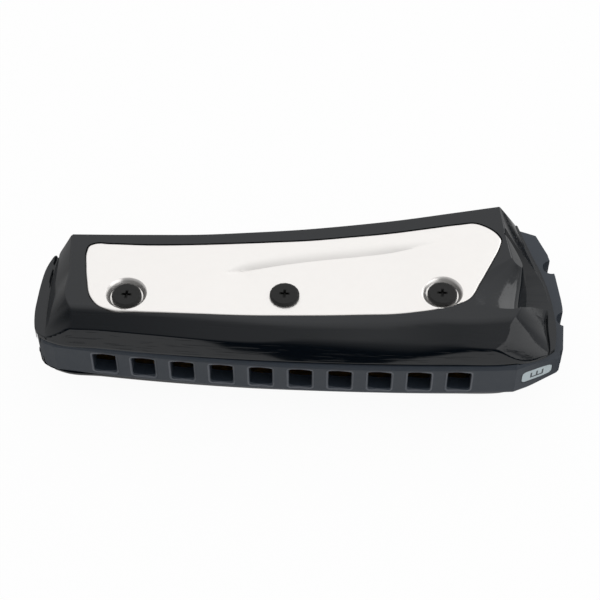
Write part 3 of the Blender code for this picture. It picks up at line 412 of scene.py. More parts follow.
def front_face(x, y):
    """The lower face from the seam to the crease: steep at the seam, easing to the slope below the crease."""
    crease_y, crease_z = crease_line(x)
    run, rise = crease_y - curve(SEAM, x), crease_z - SEAM_EDGE
    t = (y - curve(SEAM, x)) / run
    low = np.tan(np.radians(curve(SEAM_SLOPE, x))) * run
    high = np.tan(np.radians(curve(FACE_SLOPE, x))) * run
    bend = (low - high) / 2
    inside = rise * t + bend * t * (1 - t)
    beyond = rise + high * (t - 1)
    return SEAM_EDGE + np.where(t < 1, inside, beyond)


def body_z(x, y):
    """The height of a cover's outer form at plan points, without the grooves, the pocket and the scoop."""
    x, y = np.asarray(x, float), np.asarray(y, float)
    crease_y, crease_z = crease_line(x)
    band = crease_z + (y - crease_y) * np.tan(np.radians(curve(BAND_SLOPE, x)))
    z = TOP - thumb_dip(x, y)
    z = soft_min(z, band, curve(TOP_ROUND, x))
    z = soft_min(z, front_face(x, y), curve(CREASE_ROUND, x))
    left_in, right_in = curve(LEFT_INNER, y), curve(RIGHT_INNER, y)
    left = LIP_TOP + (TOP - LIP_TOP) * (x - left_in) / (curve(LEFT_TOP, y) - left_in)
    base = curve(RIGHT_BASE, y)
    right = base + (TOP - base) * (right_in - x) / (right_in - curve(RIGHT_TOP, y))
    z = soft_min(z, left, LEFT_ROUND)
    z = soft_min(z, right, RIGHT_ROUND)
    beside = (x < left_in) | (x > right_in)
    return np.where(beside, np.minimum(front_face(x, y), LIP_TOP), z)


def outer_z(x, y):
    """The outer form with the grooves inside the end lips."""
    z = body_z(x, y)
    left = smooth(GROOVE_REACH - np.abs(x - curve(LEFT_INNER, y)) / curve(LEFT_GROOVE, y))
    right = smooth(GROOVE_REACH - np.abs(x - curve(RIGHT_INNER, y)) / curve(RIGHT_GROOVE, y))
    z = z - GROOVE_DEPTH * (left + right * smooth((RIGHT_GROOVE_END - y) / RIGHT_GROOVE_FADE))
    return np.maximum(z, np.minimum(SEAM_EDGE - SEAM_LEDGE, front_face(x, y)))


def scoop_z(x, y):
    """The scoop's floor and the wall that rolls up from it."""
    back = (curve(SCOOP_FOOT, y) - x) / curve(SCOOP_WIDTH, y)
    floor = curve(SCOOP_FLOOR, y)
    wall = np.maximum(curve(SCOOP_RIM, y) - floor, 0) * curve(SCOOP_WALL, back)
    return floor + wall + SCOOP_SLOPE * np.maximum(back - 1, 0) * curve(SCOOP_WIDTH, y)


def slopes_of(surface, x, y, step):
    """The slopes of a height surface along x and y, measured over a step to either side."""
    along_x = (surface(x + step, y) - surface(x - step, y)) / (2 * step)
    along_y = (surface(x, y + step) - surface(x, y - step)) / (2 * step)
    return along_x, along_y


def normals_of(surface, points):
    """Unit normals of a height surface at plan points."""
    dx, dy = slopes_of(surface, points[:, 0], points[:, 1], NORMAL_STEP)
    n = np.stack([-dx, -dy, np.ones_like(dx)], 1)
    return n / np.linalg.norm(n, axis=1, keepdims=True)


def object_from(name, builder):
    """A new object in millimetres from a bmesh, its normals facing out, with a slot for each surface."""
    bmesh.ops.recalc_face_normals(builder, faces=builder.faces)
    mesh = bpy.data.meshes.new(name)
    builder.to_mesh(mesh)
    builder.free()
    made = bpy.data.objects.new(name, mesh)
    bpy.context.scene.collection.objects.link(made)
    while len(mesh.materials) < len(SURFACES):
        mesh.materials.append(None)
    return made


def rings_solid(name, rings):
    """A closed solid through rings of points that go up one after another."""
    builder = bmesh.new()
    loops = [[builder.verts.new(p) for p in ring] for ring in rings]
    count = len(rings[0])
    for lower, upper in zip(loops, loops[1:]):
        for i in range(count):
            j = (i + 1) % count
            builder.faces.new((lower[i], lower[j], upper[j], upper[i]))
    builder.faces.new(loops[0][::-1])
    builder.faces.new(loops[-1])
    return object_from(name, builder)


def prism(name, outline, low, high):
    """An upright solid over a plan outline."""
    return rings_solid(name, [[(p[0], p[1], z) for p in outline] for z in (low, high)])


def turned(name, centre, profile, sides):
    """A solid turned about an upright axis, from its profile as (radius, height)."""
    angles = [2 * math.pi * (i + 0.5) / sides for i in range(sides)]
    rings = [[(centre[0] + r * math.cos(a), centre[1] + r * math.sin(a), z) for a in angles]
             for r, z in profile]
    return rings_solid(name, rings)


def height_block(name, grid, surface_index, bottom):
    """A closed block under a grid of points, with upright sides and a flat underside."""
    builder = bmesh.new()
    rows, columns = grid.shape[:2]
    verts = [[builder.verts.new(grid[i, j]) for j in range(columns)] for i in range(rows)]
    for i in range(rows - 1):
        for j in range(columns - 1):
            face = builder.faces.new((verts[i][j], verts[i][j + 1], verts[i + 1][j + 1], verts[i + 1][j]))
            face.material_index = surface_index
    rim = verts[0][:-1] + [row[-1] for row in verts[:-1]]
    rim += verts[-1][:0:-1] + [row[0] for row in verts[:0:-1]]
    feet = [builder.verts.new((v.co.x, v.co.y, bottom)) for v in rim]
    for i in range(len(rim)):
        j = (i + 1) % len(rim)
        builder.faces.new((rim[i], rim[j], feet[j], feet[i]))
    builder.faces.new(feet)
    bmesh.ops.triangulate(builder, faces=builder.faces)
    return object_from(name, builder)


def combine(target, tool, operation="DIFFERENCE"):
    """Cuts the tool from the target, or joins or crosses them, and keeps the result as the target's mesh."""
    modifier = target.modifiers.new("combine", "BOOLEAN")
    modifier.object = tool
    modifier.operation = operation
    bpy.context.view_layer.update()
    graph = bpy.context.evaluated_depsgraph_get()
    mesh = bpy.data.meshes.new_from_object(target.evaluated_get(graph))
    target.modifiers.clear()
    target.data = mesh
    bpy.data.objects.remove(tool)


def between(lines, share):
    """Values spread between successive lines; a share of 1.5 is half way from the second to the third."""
    k = np.clip(share.astype(int), 0, len(lines) - 2)
    stack = np.stack(lines)
    index = np.indices(share.shape)
    low, high = stack[k, index[0], index[1]], stack[k + 1, index[0], index[1]]
    return low + (high - low) * (share - k)


def spread_counts(counts):
    """Shares from 0 to the number of zones, each zone divided evenly by its own count."""
    zones = [np.linspace(zone, zone + 1, count, False) for zone, count in enumerate(counts)]
    return np.append(np.concatenate(zones), len(counts))


def column_lines(y, wall):
    """The lines across the cover, from its left end to its right one, at the given depths."""
    left_out, right_out = curve(LEFT_OUTER, y) + wall, curve(RIGHT_OUTER, y) - wall
    left_in = np.maximum(curve(LEFT_INNER, y), left_out + LIP_LEAST)
    right_in = np.minimum(curve(RIGHT_INNER, y), right_out - LIP_LEAST)
    left_top, right_top = curve(LEFT_TOP, y), curve(RIGHT_TOP, y)
    return [left_out, left_in - LIP_SHARE * (left_in - left_out), left_in + LIP_SIDE,
            left_top - LEFT_TOP_SIDES[0], left_top + LEFT_TOP_SIDES[1], right_top - RIGHT_TOP_SIDE,
            right_top + RIGHT_TOP_SIDE, right_in - LIP_SIDE, right_in + LIP_SHARE * (right_out - right_in),
            right_out]


def row_lines(x, wall):
    """The lines along the cover, from the seam to the rear edge, kept in order."""
    seam, rear = curve(SEAM, x) + wall, curve(REAR, x) - wall
    crease, top, foot = crease_line(x)[0], band_top_y(x), curve(THUMB_FOOT, x)
    crest = np.maximum(curve(THUMB_CREST, x), foot + CREST_LEAST)
    lines = [seam, crease - CREASE_SIDE, crease + CREASE_SIDE, top - TOP_SIDES[0], top + TOP_SIDES[1], foot,
             crest, rear - REAR_SIDE, rear]
    lines = [np.minimum(np.maximum(line, seam), rear) for line in lines]
    for k in range(1, len(lines)):
        lines[k] = np.maximum(lines[k], lines[k - 1] + LINE_LEAST)
    return lines


def cover_grid(wall=0.0):
    """Plan points over a cover whose rows and columns follow its creases, inset by wall."""
    columns, rows = spread_counts(COLUMN_COUNTS), spread_counts(ROW_COUNTS)
    column, row = np.meshgrid(columns, rows)
    x = FIRST_X[0] + FIRST_X[1] * column / column.max()
    y = FIRST_Y[0] + FIRST_Y[1] * row / row.max()
    for _ in range(GUESSES):
        x = between(column_lines(y, wall), column)
        y = between(row_lines(x, wall), row)
    return x, y


def cover_block():
    """The solid cover, its rear edge rounded off."""
    x, y = cover_grid()
    z = outer_z(x, y)
    z[-2] -= REAR_DROPS[0]
    z[-1] -= REAR_DROPS[1]
    return height_block("upper_shell", np.stack([x, y, z], -1), SKIN, 0)


def lowered(surface, x, y):
    """A height surface moved inwards by the shell's wall."""
    dx, dy = slopes_of(surface, x, y, WALL_STEP)
    return surface(x, y) - SHELL * np.sqrt(1 + dx**2 + dy**2)


def void_height(x, y):
    """The underside of the shell, below the outer form and the scoop."""
    z = lowered(body_z, x, y)
    inside = (y > curve(SCOOP_FRONT, x) - SHELL) & (x > SCOOP_VOID_START)
    z = np.where(inside, np.minimum(z, lowered(scoop_z, x, y)), z)
    return np.maximum(z, COVER_FOOT + VOID_LEAST)


def scoop_tool():
    """The space above the scoop's floor and wall, behind its front edge; its columns follow the wall."""
    column, share = np.meshgrid(spread_counts(SCOOP_COLUMNS), np.linspace(0, 1, SCOOP_ROWS))
    y = share * SCOOP_END
    left, right = (np.full_like(y, side) for side in SCOOP_SIDES)
    for _ in range(GUESSES):
        foot = curve(SCOOP_FOOT, y)
        x = between([left, foot - curve(SCOOP_WIDTH, y), foot, right], column)
        front = curve(SCOOP_FRONT, x)
        y = front + (SCOOP_END - front) * share
    return height_block("scoop_tool", np.stack([x, y, scoop_z(x, y)], -1), SCOOP, TOOL_HIGH)


def splined(points, spacing):
    """A closed outline through points, smoothed and divided evenly."""
    ps = np.array(points, float)
    wrapped = np.vstack([ps[-3:], ps, ps[:4]])
    length = np.concatenate([[0], np.cumsum(np.linalg.norm(np.diff(wrapped, axis=0), axis=1))])
    start, end = length[3], length[3 + len(ps)]
    count = int((end - start) / spacing)
    at = start + (end - start) * np.arange(count) / count
    return np.stack([curve(np.stack([length, wrapped[:, k]], 1), at) for k in (0, 1)], 1)


def inset(outline, distance):
    """A counterclockwise outline moved inwards."""
    ps = np.array(outline, float)
    before = ps - np.roll(ps, 1, 0)
    after = np.roll(ps, -1, 0) - ps
    before /= np.linalg.norm(before, axis=1, keepdims=True)
    after /= np.linalg.norm(after, axis=1, keepdims=True)
    along = before + after
    along /= np.linalg.norm(along, axis=1, keepdims=True)
    cosine = np.maximum((along * after).sum(1), 0.5)
    return ps + np.stack([-along[:, 1], along[:, 0]], 1) * (distance / cosine)[:, None]


def inlay_outline():
    """The inlay's smooth outline, counterclockwise."""
    return splined(INLAY_OUTLINE[::-1], OUTLINE_SPACING)


def nose_y(x):
    """The comb's mouth side, a shallow arc in plan."""
    return NOSE[0] + (x - NOSE[1]) ** 2 / NOSE[2]


def comb_outline():
    """The comb's full-height body in plan."""
    front = [(x, nose_y(x)) for x in NOSE_X] + COMB_FRONT_RIGHT
    right = [(float(curve(RIGHT_OUTER, y)) - SHELL - GAP, y) for y in COMB_RIGHT_Y]
    back = [(float(x), float(curve(REAR, x)) - COMB_BACK_GAP) for x in COMB_BACK_X]
    left = [(float(curve(LEFT_OUTER, y)), y) for y in COMB_LEFT_Y]
    return front + right + back + left + COMB_FRONT_LEFT


def clear_of(points, others, distance):
    """Those points that lie at least a distance from all the others."""
    gaps = np.hypot(*(points[:, None, :] - np.array(others)[None]).transpose(2, 0, 1))
    return points[gaps.min(1) > distance]


def turns_round(loop, point):
    """The angle by which a closed loop turns round a point: a full turn inside it, none outside."""
    away = loop - point
    angle = np.arctan2(away[:, 1], away[:, 0])
    return abs(((np.roll(angle, -1) - angle + math.pi) % (2 * math.pi) - math.pi).sum())


def inlay_points():
    """Mesh points of the inlay in plan with each one's drop, and the closed loops its edges follow."""
    outline = inlay_outline()
    points, drops, loops = [], [], [list(range(len(outline)))]
    for distance, drop in EDGE_ROLL:
        points += inset(outline, distance).tolist()
        drops += [drop] * len(outline)
    angles = np.arange(RING_SIDES) * 2 * math.pi / RING_SIDES
    circle = np.stack([np.cos(angles), np.sin(angles)], 1)
    for place, radii in zip(SCREWS, SCREW_RINGS):
        loops.append(list(range(len(points), len(points) + RING_SIDES)))
        for radius in radii:
            points += (np.array(place) + radius * circle).tolist()
            drops += [0] * RING_SIDES
    xs = np.arange(*INLAY_X, STEP_MESH)
    foot, crest = curve(THUMB_FOOT, xs), curve(THUMB_CREST, xs)
    step = np.concatenate([np.stack([xs, foot * (1 - share) + crest * share], 1) for share in STEP_SHARES])
    grid = np.meshgrid(np.arange(*INLAY_X, PLAIN_MESH), np.arange(*INLAY_Y, PLAIN_MESH))
    plain = clear_of(np.stack([axis.ravel() for axis in grid], 1), step, STEP_GAP)
    inner = inset(outline, EDGE_ROLL[-1][0])
    inside = []
    for point in clear_of(np.concatenate([step, plain]), inner, EDGE_GAP):
        gaps = [math.dist(point, place) - radii[-1] for place, radii in zip(SCREWS, SCREW_RINGS)]
        if min(gaps) > RING_GAP and turns_round(inner, point) > math.pi:
            inside.append(point.tolist())
    return points + inside, drops + [0] * len(inside), loops


def build_inlay():
    """The metal inlay: a sheet that follows the cover, with a rolled edge and dimples at two screws."""
    points, drops, loops = inlay_points()
    edges = [(loop[i - 1], loop[i]) for loop in loops for i in range(len(loop))]
    places = [Vector(p) for p in points]
    only_inside, nearness = 1, 1e-5
    flat, _, faces, origins, _, _ = delaunay_2d_cdt(places, edges, [loops[0]], only_inside, nearness)
    x, y = np.array([tuple(p) for p in flat]).T
    seat = outer_z(x, y) - dimple(x, y)
    drop = np.array([drops[origin[0]] for origin in origins])
    builder = bmesh.new()
    top = [builder.verts.new(place) for place in zip(x, y, seat - drop)]
    low = [builder.verts.new(place) for place in zip(x, y, seat - INLAY_SHEET)]
    kept = []
    for face in faces:
        middle = sum((flat[i] for i in face), Vector((0, 0))) / len(face)
        if min(math.dist(middle, place) for place in SCREWS) > SHANK_HOLE:
            kept.append(face)
            builder.faces.new([top[i] for i in face])
    partner = dict(zip(top, low))
    for edge in [edge for edge in builder.edges if edge.is_boundary]:
        a, b = edge.verts
        builder.faces.new((a, b, partner[b], partner[a]))
    for face in kept:
        builder.faces.new([low[i] for i in reversed(face)])
    bmesh.ops.delete(builder, geom=[v for v in builder.verts if not v.link_faces], context="VERTS")
    return object_from("inlay", builder)


def dimple(x, y):
    """How far the dimples round the outer screws sink the inlay."""
    depth = np.zeros_like(x)
    for cx, cy in (SCREWS[0], SCREWS[2]):
        r = np.hypot(x - cx, y - cy)
        share = smooth((DIMPLE_RIM - r) / (DIMPLE_RIM - DIMPLE_FLOOR))
        depth = depth + (outer_z(x, y) - SCREW_SEAT) * share
    return depth


def read(items, attribute, kind, width=1):
    """An array of an attribute of mesh items, a row for each item where it is a vector."""
    values = np.zeros(len(items) * width, kind)
    items.foreach_get(attribute, values)
    return values.reshape(-1, width) if width > 1 else values


def smooth_normals(piece, sources):
    """Corner normals: smooth by angle, or from a height function where a face is on a named surface."""
    mesh = piece.data
    mesh.shade_smooth()
    mesh.set_sharp_from_angle(angle=SHARP_ANGLE)
    normals = read(mesh.corner_normals, "vector", np.float32, 3)
    face_of = np.repeat(np.arange(len(mesh.polygons)), read(mesh.polygons, "loop_total", int))
    kind = read(mesh.polygons, "material_index", int)[face_of]
    points = read(mesh.vertices, "co", float, 3)[read(mesh.loops, "vertex_index", int)]
    inwards = read(mesh.polygons, "center", float, 3)[face_of] - points
    reach = np.minimum(CORNER_NUDGE / np.maximum(np.linalg.norm(inwards, axis=1), 1e-9), 0.5)
    moved = points + inwards * reach[:, None]
    for surface, function in sources.items():
        chosen = kind == surface
        normals[chosen] = normals_of(function, moved[chosen])
    return normals


def hand_over(name, piece, made, normals=None):
    """Moves a piece into the model's frame and gives it its finish and its body, in place of the imported
    node of that name.
    """
    mesh = piece.data
    mesh.materials.clear()
    mesh.materials.append(made)
    mesh.polygons.foreach_set("material_index", np.zeros(len(mesh.polygons), int))
    mesh.transform(TO_MODEL)
    if normals is None:
        mesh.shade_smooth()
        mesh.set_sharp_from_angle(angle=SHARP_ANGLE)
    else:
        mesh.normals_split_custom_set(normals.tolist())
    piece.name = mesh.name = name + "_shown"
    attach(piece, "root")
    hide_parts(name)


def mirrored(piece):
    """The same piece for the underside. Its front leans back, since the photograph shows none of it."""
    mesh = piece.data.copy()
    mesh.transform(Matrix.Diagonal((1, 1, -1, 1)))
    mesh.flip_normals()
    places = read(mesh.vertices, "co", float, 3)
    x, y, below = places[:, 0], places[:, 1], -places[:, 2]
    corner = smooth((x - CORNER_START) / CORNER_LENGTH)
    depth = smooth((below - SEAM_EDGE) / LEAN_HEIGHT + CORNER_EARLIER * corner)
    lean = LEAN * (1 + corner) * depth * smooth((CORNER_REACH * corner - y) / LEAN_REACH)
    shift = LEFT_SHIFT * smooth((LEFT_START - x) / LEFT_LENGTH) * smooth((below - COVER_FOOT) / LEFT_HEIGHT)
    places[:, 1] += lean
    places[:, 0] += shift
    mesh.vertices.foreach_set("co", places.ravel())
    made = bpy.data.objects.new("mirrored", mesh)
    bpy.context.scene.collection.objects.link(made)
    return made


def rear_outline():
    """The rear opening in plan, along the rear edge between its ends."""
    left, right = [(x, float(curve(REAR, x))) for x in (-REAR_HALF, REAR_HALF)]
    return [(left[0], left[1] - REAR_REACH), (right[0], right[1] - REAR_REACH),
            (right[0], right[1] + REAR_REACH), (left[0], left[1] + REAR_REACH)]


def build_cover():
    """The upper cover: a shell with a scoop, a rear opening, posts for the screws and the inlay's pocket."""
    cover = cover_block()
    combine(cover, scoop_tool())
    x, y = cover_grid(SHELL)
    combine(cover, height_block("void", np.stack([x, y, void_height(x, y)], -1), PLAIN, TOOL_LOW))
    combine(cover, prism("skirt_tool", inset(comb_outline(), -TOOL_MARGIN), -THROUGH, SKIRT_BOTTOM))
    combine(cover, prism("seat_tool", inset(comb_outline(), -GAP), TOOL_LOW, COVER_FOOT))
    combine(cover, prism("rear_tool", rear_outline(), TOOL_LOW, REAR_TOP))
    for place in SCREWS:
        top = float(outer_z(np.array([place[0]]), np.array([place[1]]))[0]) - POST_SKIN
        combine(cover, turned("post", place, POST + [(POST[-1][0], top)], POST_SIDES), "UNION")
    gx, gy = np.meshgrid(np.linspace(*POCKET_X), np.linspace(*POCKET_Y))
    floor = np.maximum(outer_z(gx, gy) - dimple(gx, gy) - INLAY_SHEET - GAP, POCKET_LEAST)
    pocket = height_block("pocket", np.stack([gx, gy, floor], -1), PLAIN, TOOL_HIGH)
    combine(pocket, prism("outline_tool", inset(inlay_outline(), -POCKET_GAP), 0, THROUGH), "INTERSECT")
    combine(cover, pocket)
    for place in SCREWS:
        combine(cover, turned("bore", place, [(SHANK_HOLE, -THROUGH), (SHANK_HOLE, THROUGH)], BORE_SIDES))
    return cover


def add_camera():
    """A level camera above the mouth side, at the photograph's angle."""
    e, a = CAMERA_ELEVATION, CAMERA_AZIMUTH
    back = Vector((math.sin(a) * math.cos(e), -math.cos(a) * math.cos(e), math.sin(e)))
    right = Vector((math.cos(a), math.sin(a), 0))
    up = back.cross(right)
    scale = CAMERA_DISTANCE / CAMERA_FOCUS_PIXELS
    half = IMAGE_SIZE / 2
    place = ORIGIN + CAMERA_AIM + back * CAMERA_DISTANCE
    place += right * (half - CAMERA_AIM_PIXEL[0]) * scale - up * (half - CAMERA_AIM_PIXEL[1]) * scale
    data = bpy.data.cameras.new("camera")
    data.sensor_width = SENSOR
    data.lens = CAMERA_FOCUS_PIXELS * SENSOR / IMAGE_SIZE
    data.clip_start = 0.01
    camera = bpy.data.objects.new("camera", data)
    axes = Matrix((right, up, back)).transposed().to_4x4()
    camera.matrix_world = Matrix.Translation(place) @ axes
    bpy.context.scene.collection.objects.link(camera)
    bpy.context.scene.camera = camera


class Nodes:
    """Short calls to build a node tree."""

    def __init__(self, tree):
        self.tree = tree
        self.tree.nodes.clear()

    def add(self, kind, values=(), **settings):
        node = self.tree.nodes.new(kind)
        for key, value in settings.items():
            setattr(node, key, value)
        for socket, value in dict(values).items():
            if isinstance(value, bpy.types.NodeSocket):
                self.tree.links.new(value, node.inputs[socket])
            else:
                node.inputs[socket].default_value = value
        return node

    def maths(self, operation, *values, clamp=False):
        node = self.add("ShaderNodeMath", dict(enumerate(values)), operation=operation, use_clamp=clamp)
        return node.outputs[0]

    def product(self, first, *others):
        for other in others:
            first = self.maths("MULTIPLY", first, other)
        return first

    def ramp(self, value, low, high, to_low=0.0, to_high=1.0):
        """Smooth step of value from low to high, turned into a range."""
        node = self.add("ShaderNodeMapRange", {"Value": value, "From Min": low, "From Max": high,
                                               "To Min": to_low, "To Max": to_high},
                        interpolation_type="SMOOTHSTEP")
        return node.outputs["Result"]

    def fall(self, value, low, high):
        return self.ramp(value, low, high, 1.0, 0.0)

    def length(self, first, second):
        squares = [self.maths("POWER", value, 2.0) for value in (first, second)]
        return self.maths("SQRT", self.maths("ADD", *squares))

    def blend(self, factor, first, second):
        """A colour between two others."""
        values = {"Factor": factor, 6: first, 7: second}
        return self.add("ShaderNodeMix", values, data_type="RGBA").outputs[2]


def build_world():
    """White for the camera; for the object a soft studio, bright overhead and dark low in front."""
    world = bpy.data.worlds.new("studio")
    bpy.context.scene.world = world
    world.use_nodes = True
    n = Nodes(world.node_tree)
    direction = n.add("ShaderNodeTexCoord").outputs["Generated"]
    axes = n.add("ShaderNodeSeparateXYZ", {0: direction})
    along = n.add("ShaderNodeVectorMath", {0: direction, 1: SKY_AXIS}, operation="DOT_PRODUCT")
    sky = n.ramp(along.outputs["Value"], *SKY_FADE, HORIZON_LEVEL, SKY_LEVEL)
    toward = n.add("ShaderNodeVectorMath", {0: direction, 1: PATCH_DIRECTION}, operation="DOT_PRODUCT")
    patch = n.ramp(toward.outputs["Value"], *PATCH_FADE, 0.0, BACK_RIGHT_LEVEL)
    patch = n.maths("MULTIPLY", patch, n.fall(axes.outputs["Z"], *PATCH_TOP))
    level = n.maths("MAXIMUM", sky, patch)
    studio = n.add("ShaderNodeBackground", {"Color": (1, 1, 1, 1), "Strength": level})
    backdrop = n.add("ShaderNodeBackground", {"Color": (1, 1, 1, 1), "Strength": 1.0})
    seen = n.add("ShaderNodeLightPath").outputs["Is Camera Ray"]
    mixed = n.add("ShaderNodeMixShader", {0: seen, 1: studio.outputs[0], 2: backdrop.outputs[0]})
    n.add("ShaderNodeOutputWorld", {"Surface": mixed.outputs[0]})


def add_softbox(name, azimuth, elevation, distance, width, height, radiance):
    """A rectangular lamp that faces the object; azimuth 0 is in front of the mouth side, 90 at its right."""
    a, e = math.radians(azimuth), math.radians(elevation)
    away = Vector((math.sin(a) * math.cos(e), -math.cos(a) * math.cos(e), math.sin(e)))
    data = bpy.data.lights.new(name, "AREA")
    data.shape = "RECTANGLE"
    data.size, data.size_y = width, height
    data.energy = radiance * math.pi * width * height
    lamp = bpy.data.objects.new(name, data)
    turn = away.to_track_quat("Z", "Y").to_matrix().to_4x4()
    lamp.matrix_world = Matrix.Translation(away * distance) @ turn
    bpy.context.scene.collection.objects.link(lamp)


def floor_level(n):
    """How bright a shiny surface sees each place on the floor."""
    place = n.add("ShaderNodeSeparateXYZ", {0: n.add("ShaderNodeTexCoord").outputs["Object"]})
    x, y = place.outputs["X"], place.outputs["Y"]
    away = n.length(n.maths("SUBTRACT", x, SHADE_CENTRE[0]), n.maths("SUBTRACT", y, SHADE_CENTRE[1]))
    shade = n.product(n.ramp(x, *SHADE_LEFT_FADE), n.fall(away, SHADE_RADIUS * SHADE_CORE, SHADE_RADIUS))
    behind = n.ramp(x, *BACK_FADE, BACK_LEFT_LEVEL, BACK_RIGHT_LEVEL)
    behind = n.product(behind, n.maths("SUBTRACT", 1.0, shade))
    left = n.product(n.ramp(x, *LEFT_FADE, LEFT_LEVEL, 0.0), n.fall(y, *LEFT_BACK_FADE))
    behind = n.maths("ADD", behind, left)
    back = n.ramp(y, *FRONT_FADE)
    front = n.product(n.maths("SUBTRACT", 1.0, back), FRONT_LEVEL)
    return n.maths("ADD", n.product(back, behind), front)


def build_floor():
    """A pale floor that keeps the object's shadow: white for the camera, a studio for shiny surfaces."""
    mesh = bpy.data.meshes.new("floor")
    corners = [(-FLOOR_HALF_WIDTH, -FLOOR_FRONT), (FLOOR_HALF_WIDTH, -FLOOR_FRONT),
               (FLOOR_HALF_WIDTH, FLOOR_BACK), (-FLOOR_HALF_WIDTH, FLOOR_BACK)]
    mesh.from_pydata([(x, y, 0) for x, y in corners], [], [(0, 1, 2, 3)])
    floor = bpy.data.objects.new("floor", mesh)
    bpy.context.scene.collection.objects.link(floor)
    made = bpy.data.materials.new("floor_white")
    made.use_nodes = True
    n = Nodes(made.node_tree)
    path = n.add("ShaderNodeLightPath")
    camera, glossy = path.outputs["Is Camera Ray"], path.outputs["Is Glossy Ray"]
    strength = n.maths("MAXIMUM", camera, n.product(glossy, floor_level(n)))
    share = n.product(n.maths("MAXIMUM", camera, glossy), FLOOR_GLOW)
    paint = n.add("ShaderNodeBsdfDiffuse", {"Color": (FLOOR_PAINT, FLOOR_PAINT, FLOOR_PAINT, 1)})
    glow = n.add("ShaderNodeEmission", {"Color": (1, 1, 1, 1), "Strength": strength})
    mixed = n.add("ShaderNodeMixShader", {0: share, 1: paint.outputs[0], 2: glow.outputs[0]})
    n.add("ShaderNodeOutputMaterial", {"Surface": mixed.outputs[0]})
    mesh.materials.append(made)


def box_distance(n, across, up, half_across, half_up, corner):
    """Distance outside a rounded rectangle, negative inside it."""
    a = n.maths("SUBTRACT", n.maths("ABSOLUTE", across), half_across - corner)
    b = n.maths("SUBTRACT", n.maths("ABSOLUTE", up), half_up - corner)
    outside = n.length(n.maths("MAXIMUM", a, 0.0), n.maths("MAXIMUM", b, 0.0))
    inside = n.maths("MINIMUM", n.maths("MAXIMUM", a, b), 0.0)
    return n.maths("SUBTRACT", n.maths("ADD", outside, inside), corner)


def drawing_axes(n, place):
    """The place on the object as x, y and z of the drawing frame in millimetres."""
    moved = n.add("ShaderNodeMapping", {"Vector": place, "Location": -ORIGIN / MM, "Scale": (1 / MM,) * 3})
    return n.add("ShaderNodeSeparateXYZ", {0: moved.outputs[0]}).outputs


def painted_rim_highlights(n, place):
    """A thin painted highlight round each hole of the mouth side, standing in for light on its rounded rim.
    """
    x, y, z = drawing_axes(n, place)
    across = n.maths("WRAP", n.maths("SUBTRACT", x, HOLE_PITCH / 2), HOLE_PITCH / 2, -HOLE_PITCH / 2)
    distance = box_distance(n, across, z, *HOLE_HALF, HOLE_CORNER)
    end = HOLE_COUNT / 2 * HOLE_PITCH
    row = n.fall(n.maths("ABSOLUTE", x), end - ROW_END, end)
    return n.product(n.ramp(distance, *RIM_START), n.fall(distance, *RIM_END), row, n.fall(y, *NOSE_DEPTH))


def badge_marks(n, place):
    """The badge's dark border and its key letter, which lies with its spine at the bottom."""
    x, y, z = drawing_axes(n, place)
    along = n.maths("ADD", n.product(n.maths("SUBTRACT", x, BADGE_CENTRE[0]), BADGE_DIRECTION[0]),
                    n.product(n.maths("SUBTRACT", y, BADGE_CENTRE[1]), BADGE_DIRECTION[1]))
    marks = n.ramp(box_distance(n, along, z, *BADGE_HALF, BADGE_CORNER), *BORDER_FADE)
    for middle, low, half, high in LETTER:
        across = n.maths("SUBTRACT", along, middle)
        up = n.maths("SUBTRACT", z, (low + high) / 2)
        stroke = n.fall(box_distance(n, across, up, half, (high - low) / 2, STROKE_CORNER), *STROKE_FADE)
        marks = n.maths("MAXIMUM", marks, stroke)
    return marks


def shelf_wear(n, place):
    """The scoop's flat shelf, worn dull by thumbs, on both covers."""
    x, y, z = drawing_axes(n, place)
    flat = n.fall(n.maths("ABSOLUTE", z), *SHELF_HEIGHT)
    return n.product(n.ramp(x, *SHELF_X), flat, n.ramp(y, *SHELF_Y))


def painted_cross_shade(n, place):
    """Painted shade: a black cross on each cover screw's head, standing in for the dark depth of its cross
    recess.
    """
    x, y, _ = drawing_axes(n, place)
    across = n.maths("WRAP", x, SCREW_ROW[0] / 2, -SCREW_ROW[0] / 2)
    row = n.product(n.maths("SUBTRACT", x, across), SCREW_ROW[1] / SCREW_ROW[0])
    up = n.maths("SUBTRACT", y, row)
    bars = [box_distance(n, across, up, *half, CROSS_CORNER) for half in (CROSS_HALF, CROSS_HALF[::-1])]
    return n.fall(n.maths("MINIMUM", *bars), *CROSS_FADE)


def noise(n, place, size, detail):
    """A noise over the object whose lumps are about a size in millimetres."""
    values = {"Vector": place, "Scale": 1 / (size * MM), "Detail": detail}
    return n.add("ShaderNodeTexNoise", values).outputs["Fac"]


def hairlines(n, place):
    """Thin scratches in a few directions."""
    lines = []
    for turn, stretch in HAIRS:
        stretched = n.add("ShaderNodeMapping", {"Vector": place, "Rotation": (0, 0, turn),
                                                "Scale": (stretch, 1, 1)})
        lines.append(n.ramp(noise(n, stretched.outputs[0], HAIR_SIZE, 1.0), *HAIR_FADE))
    return n.maths("MAXIMUM", n.maths("MAXIMUM", lines[0], lines[1]), lines[2])


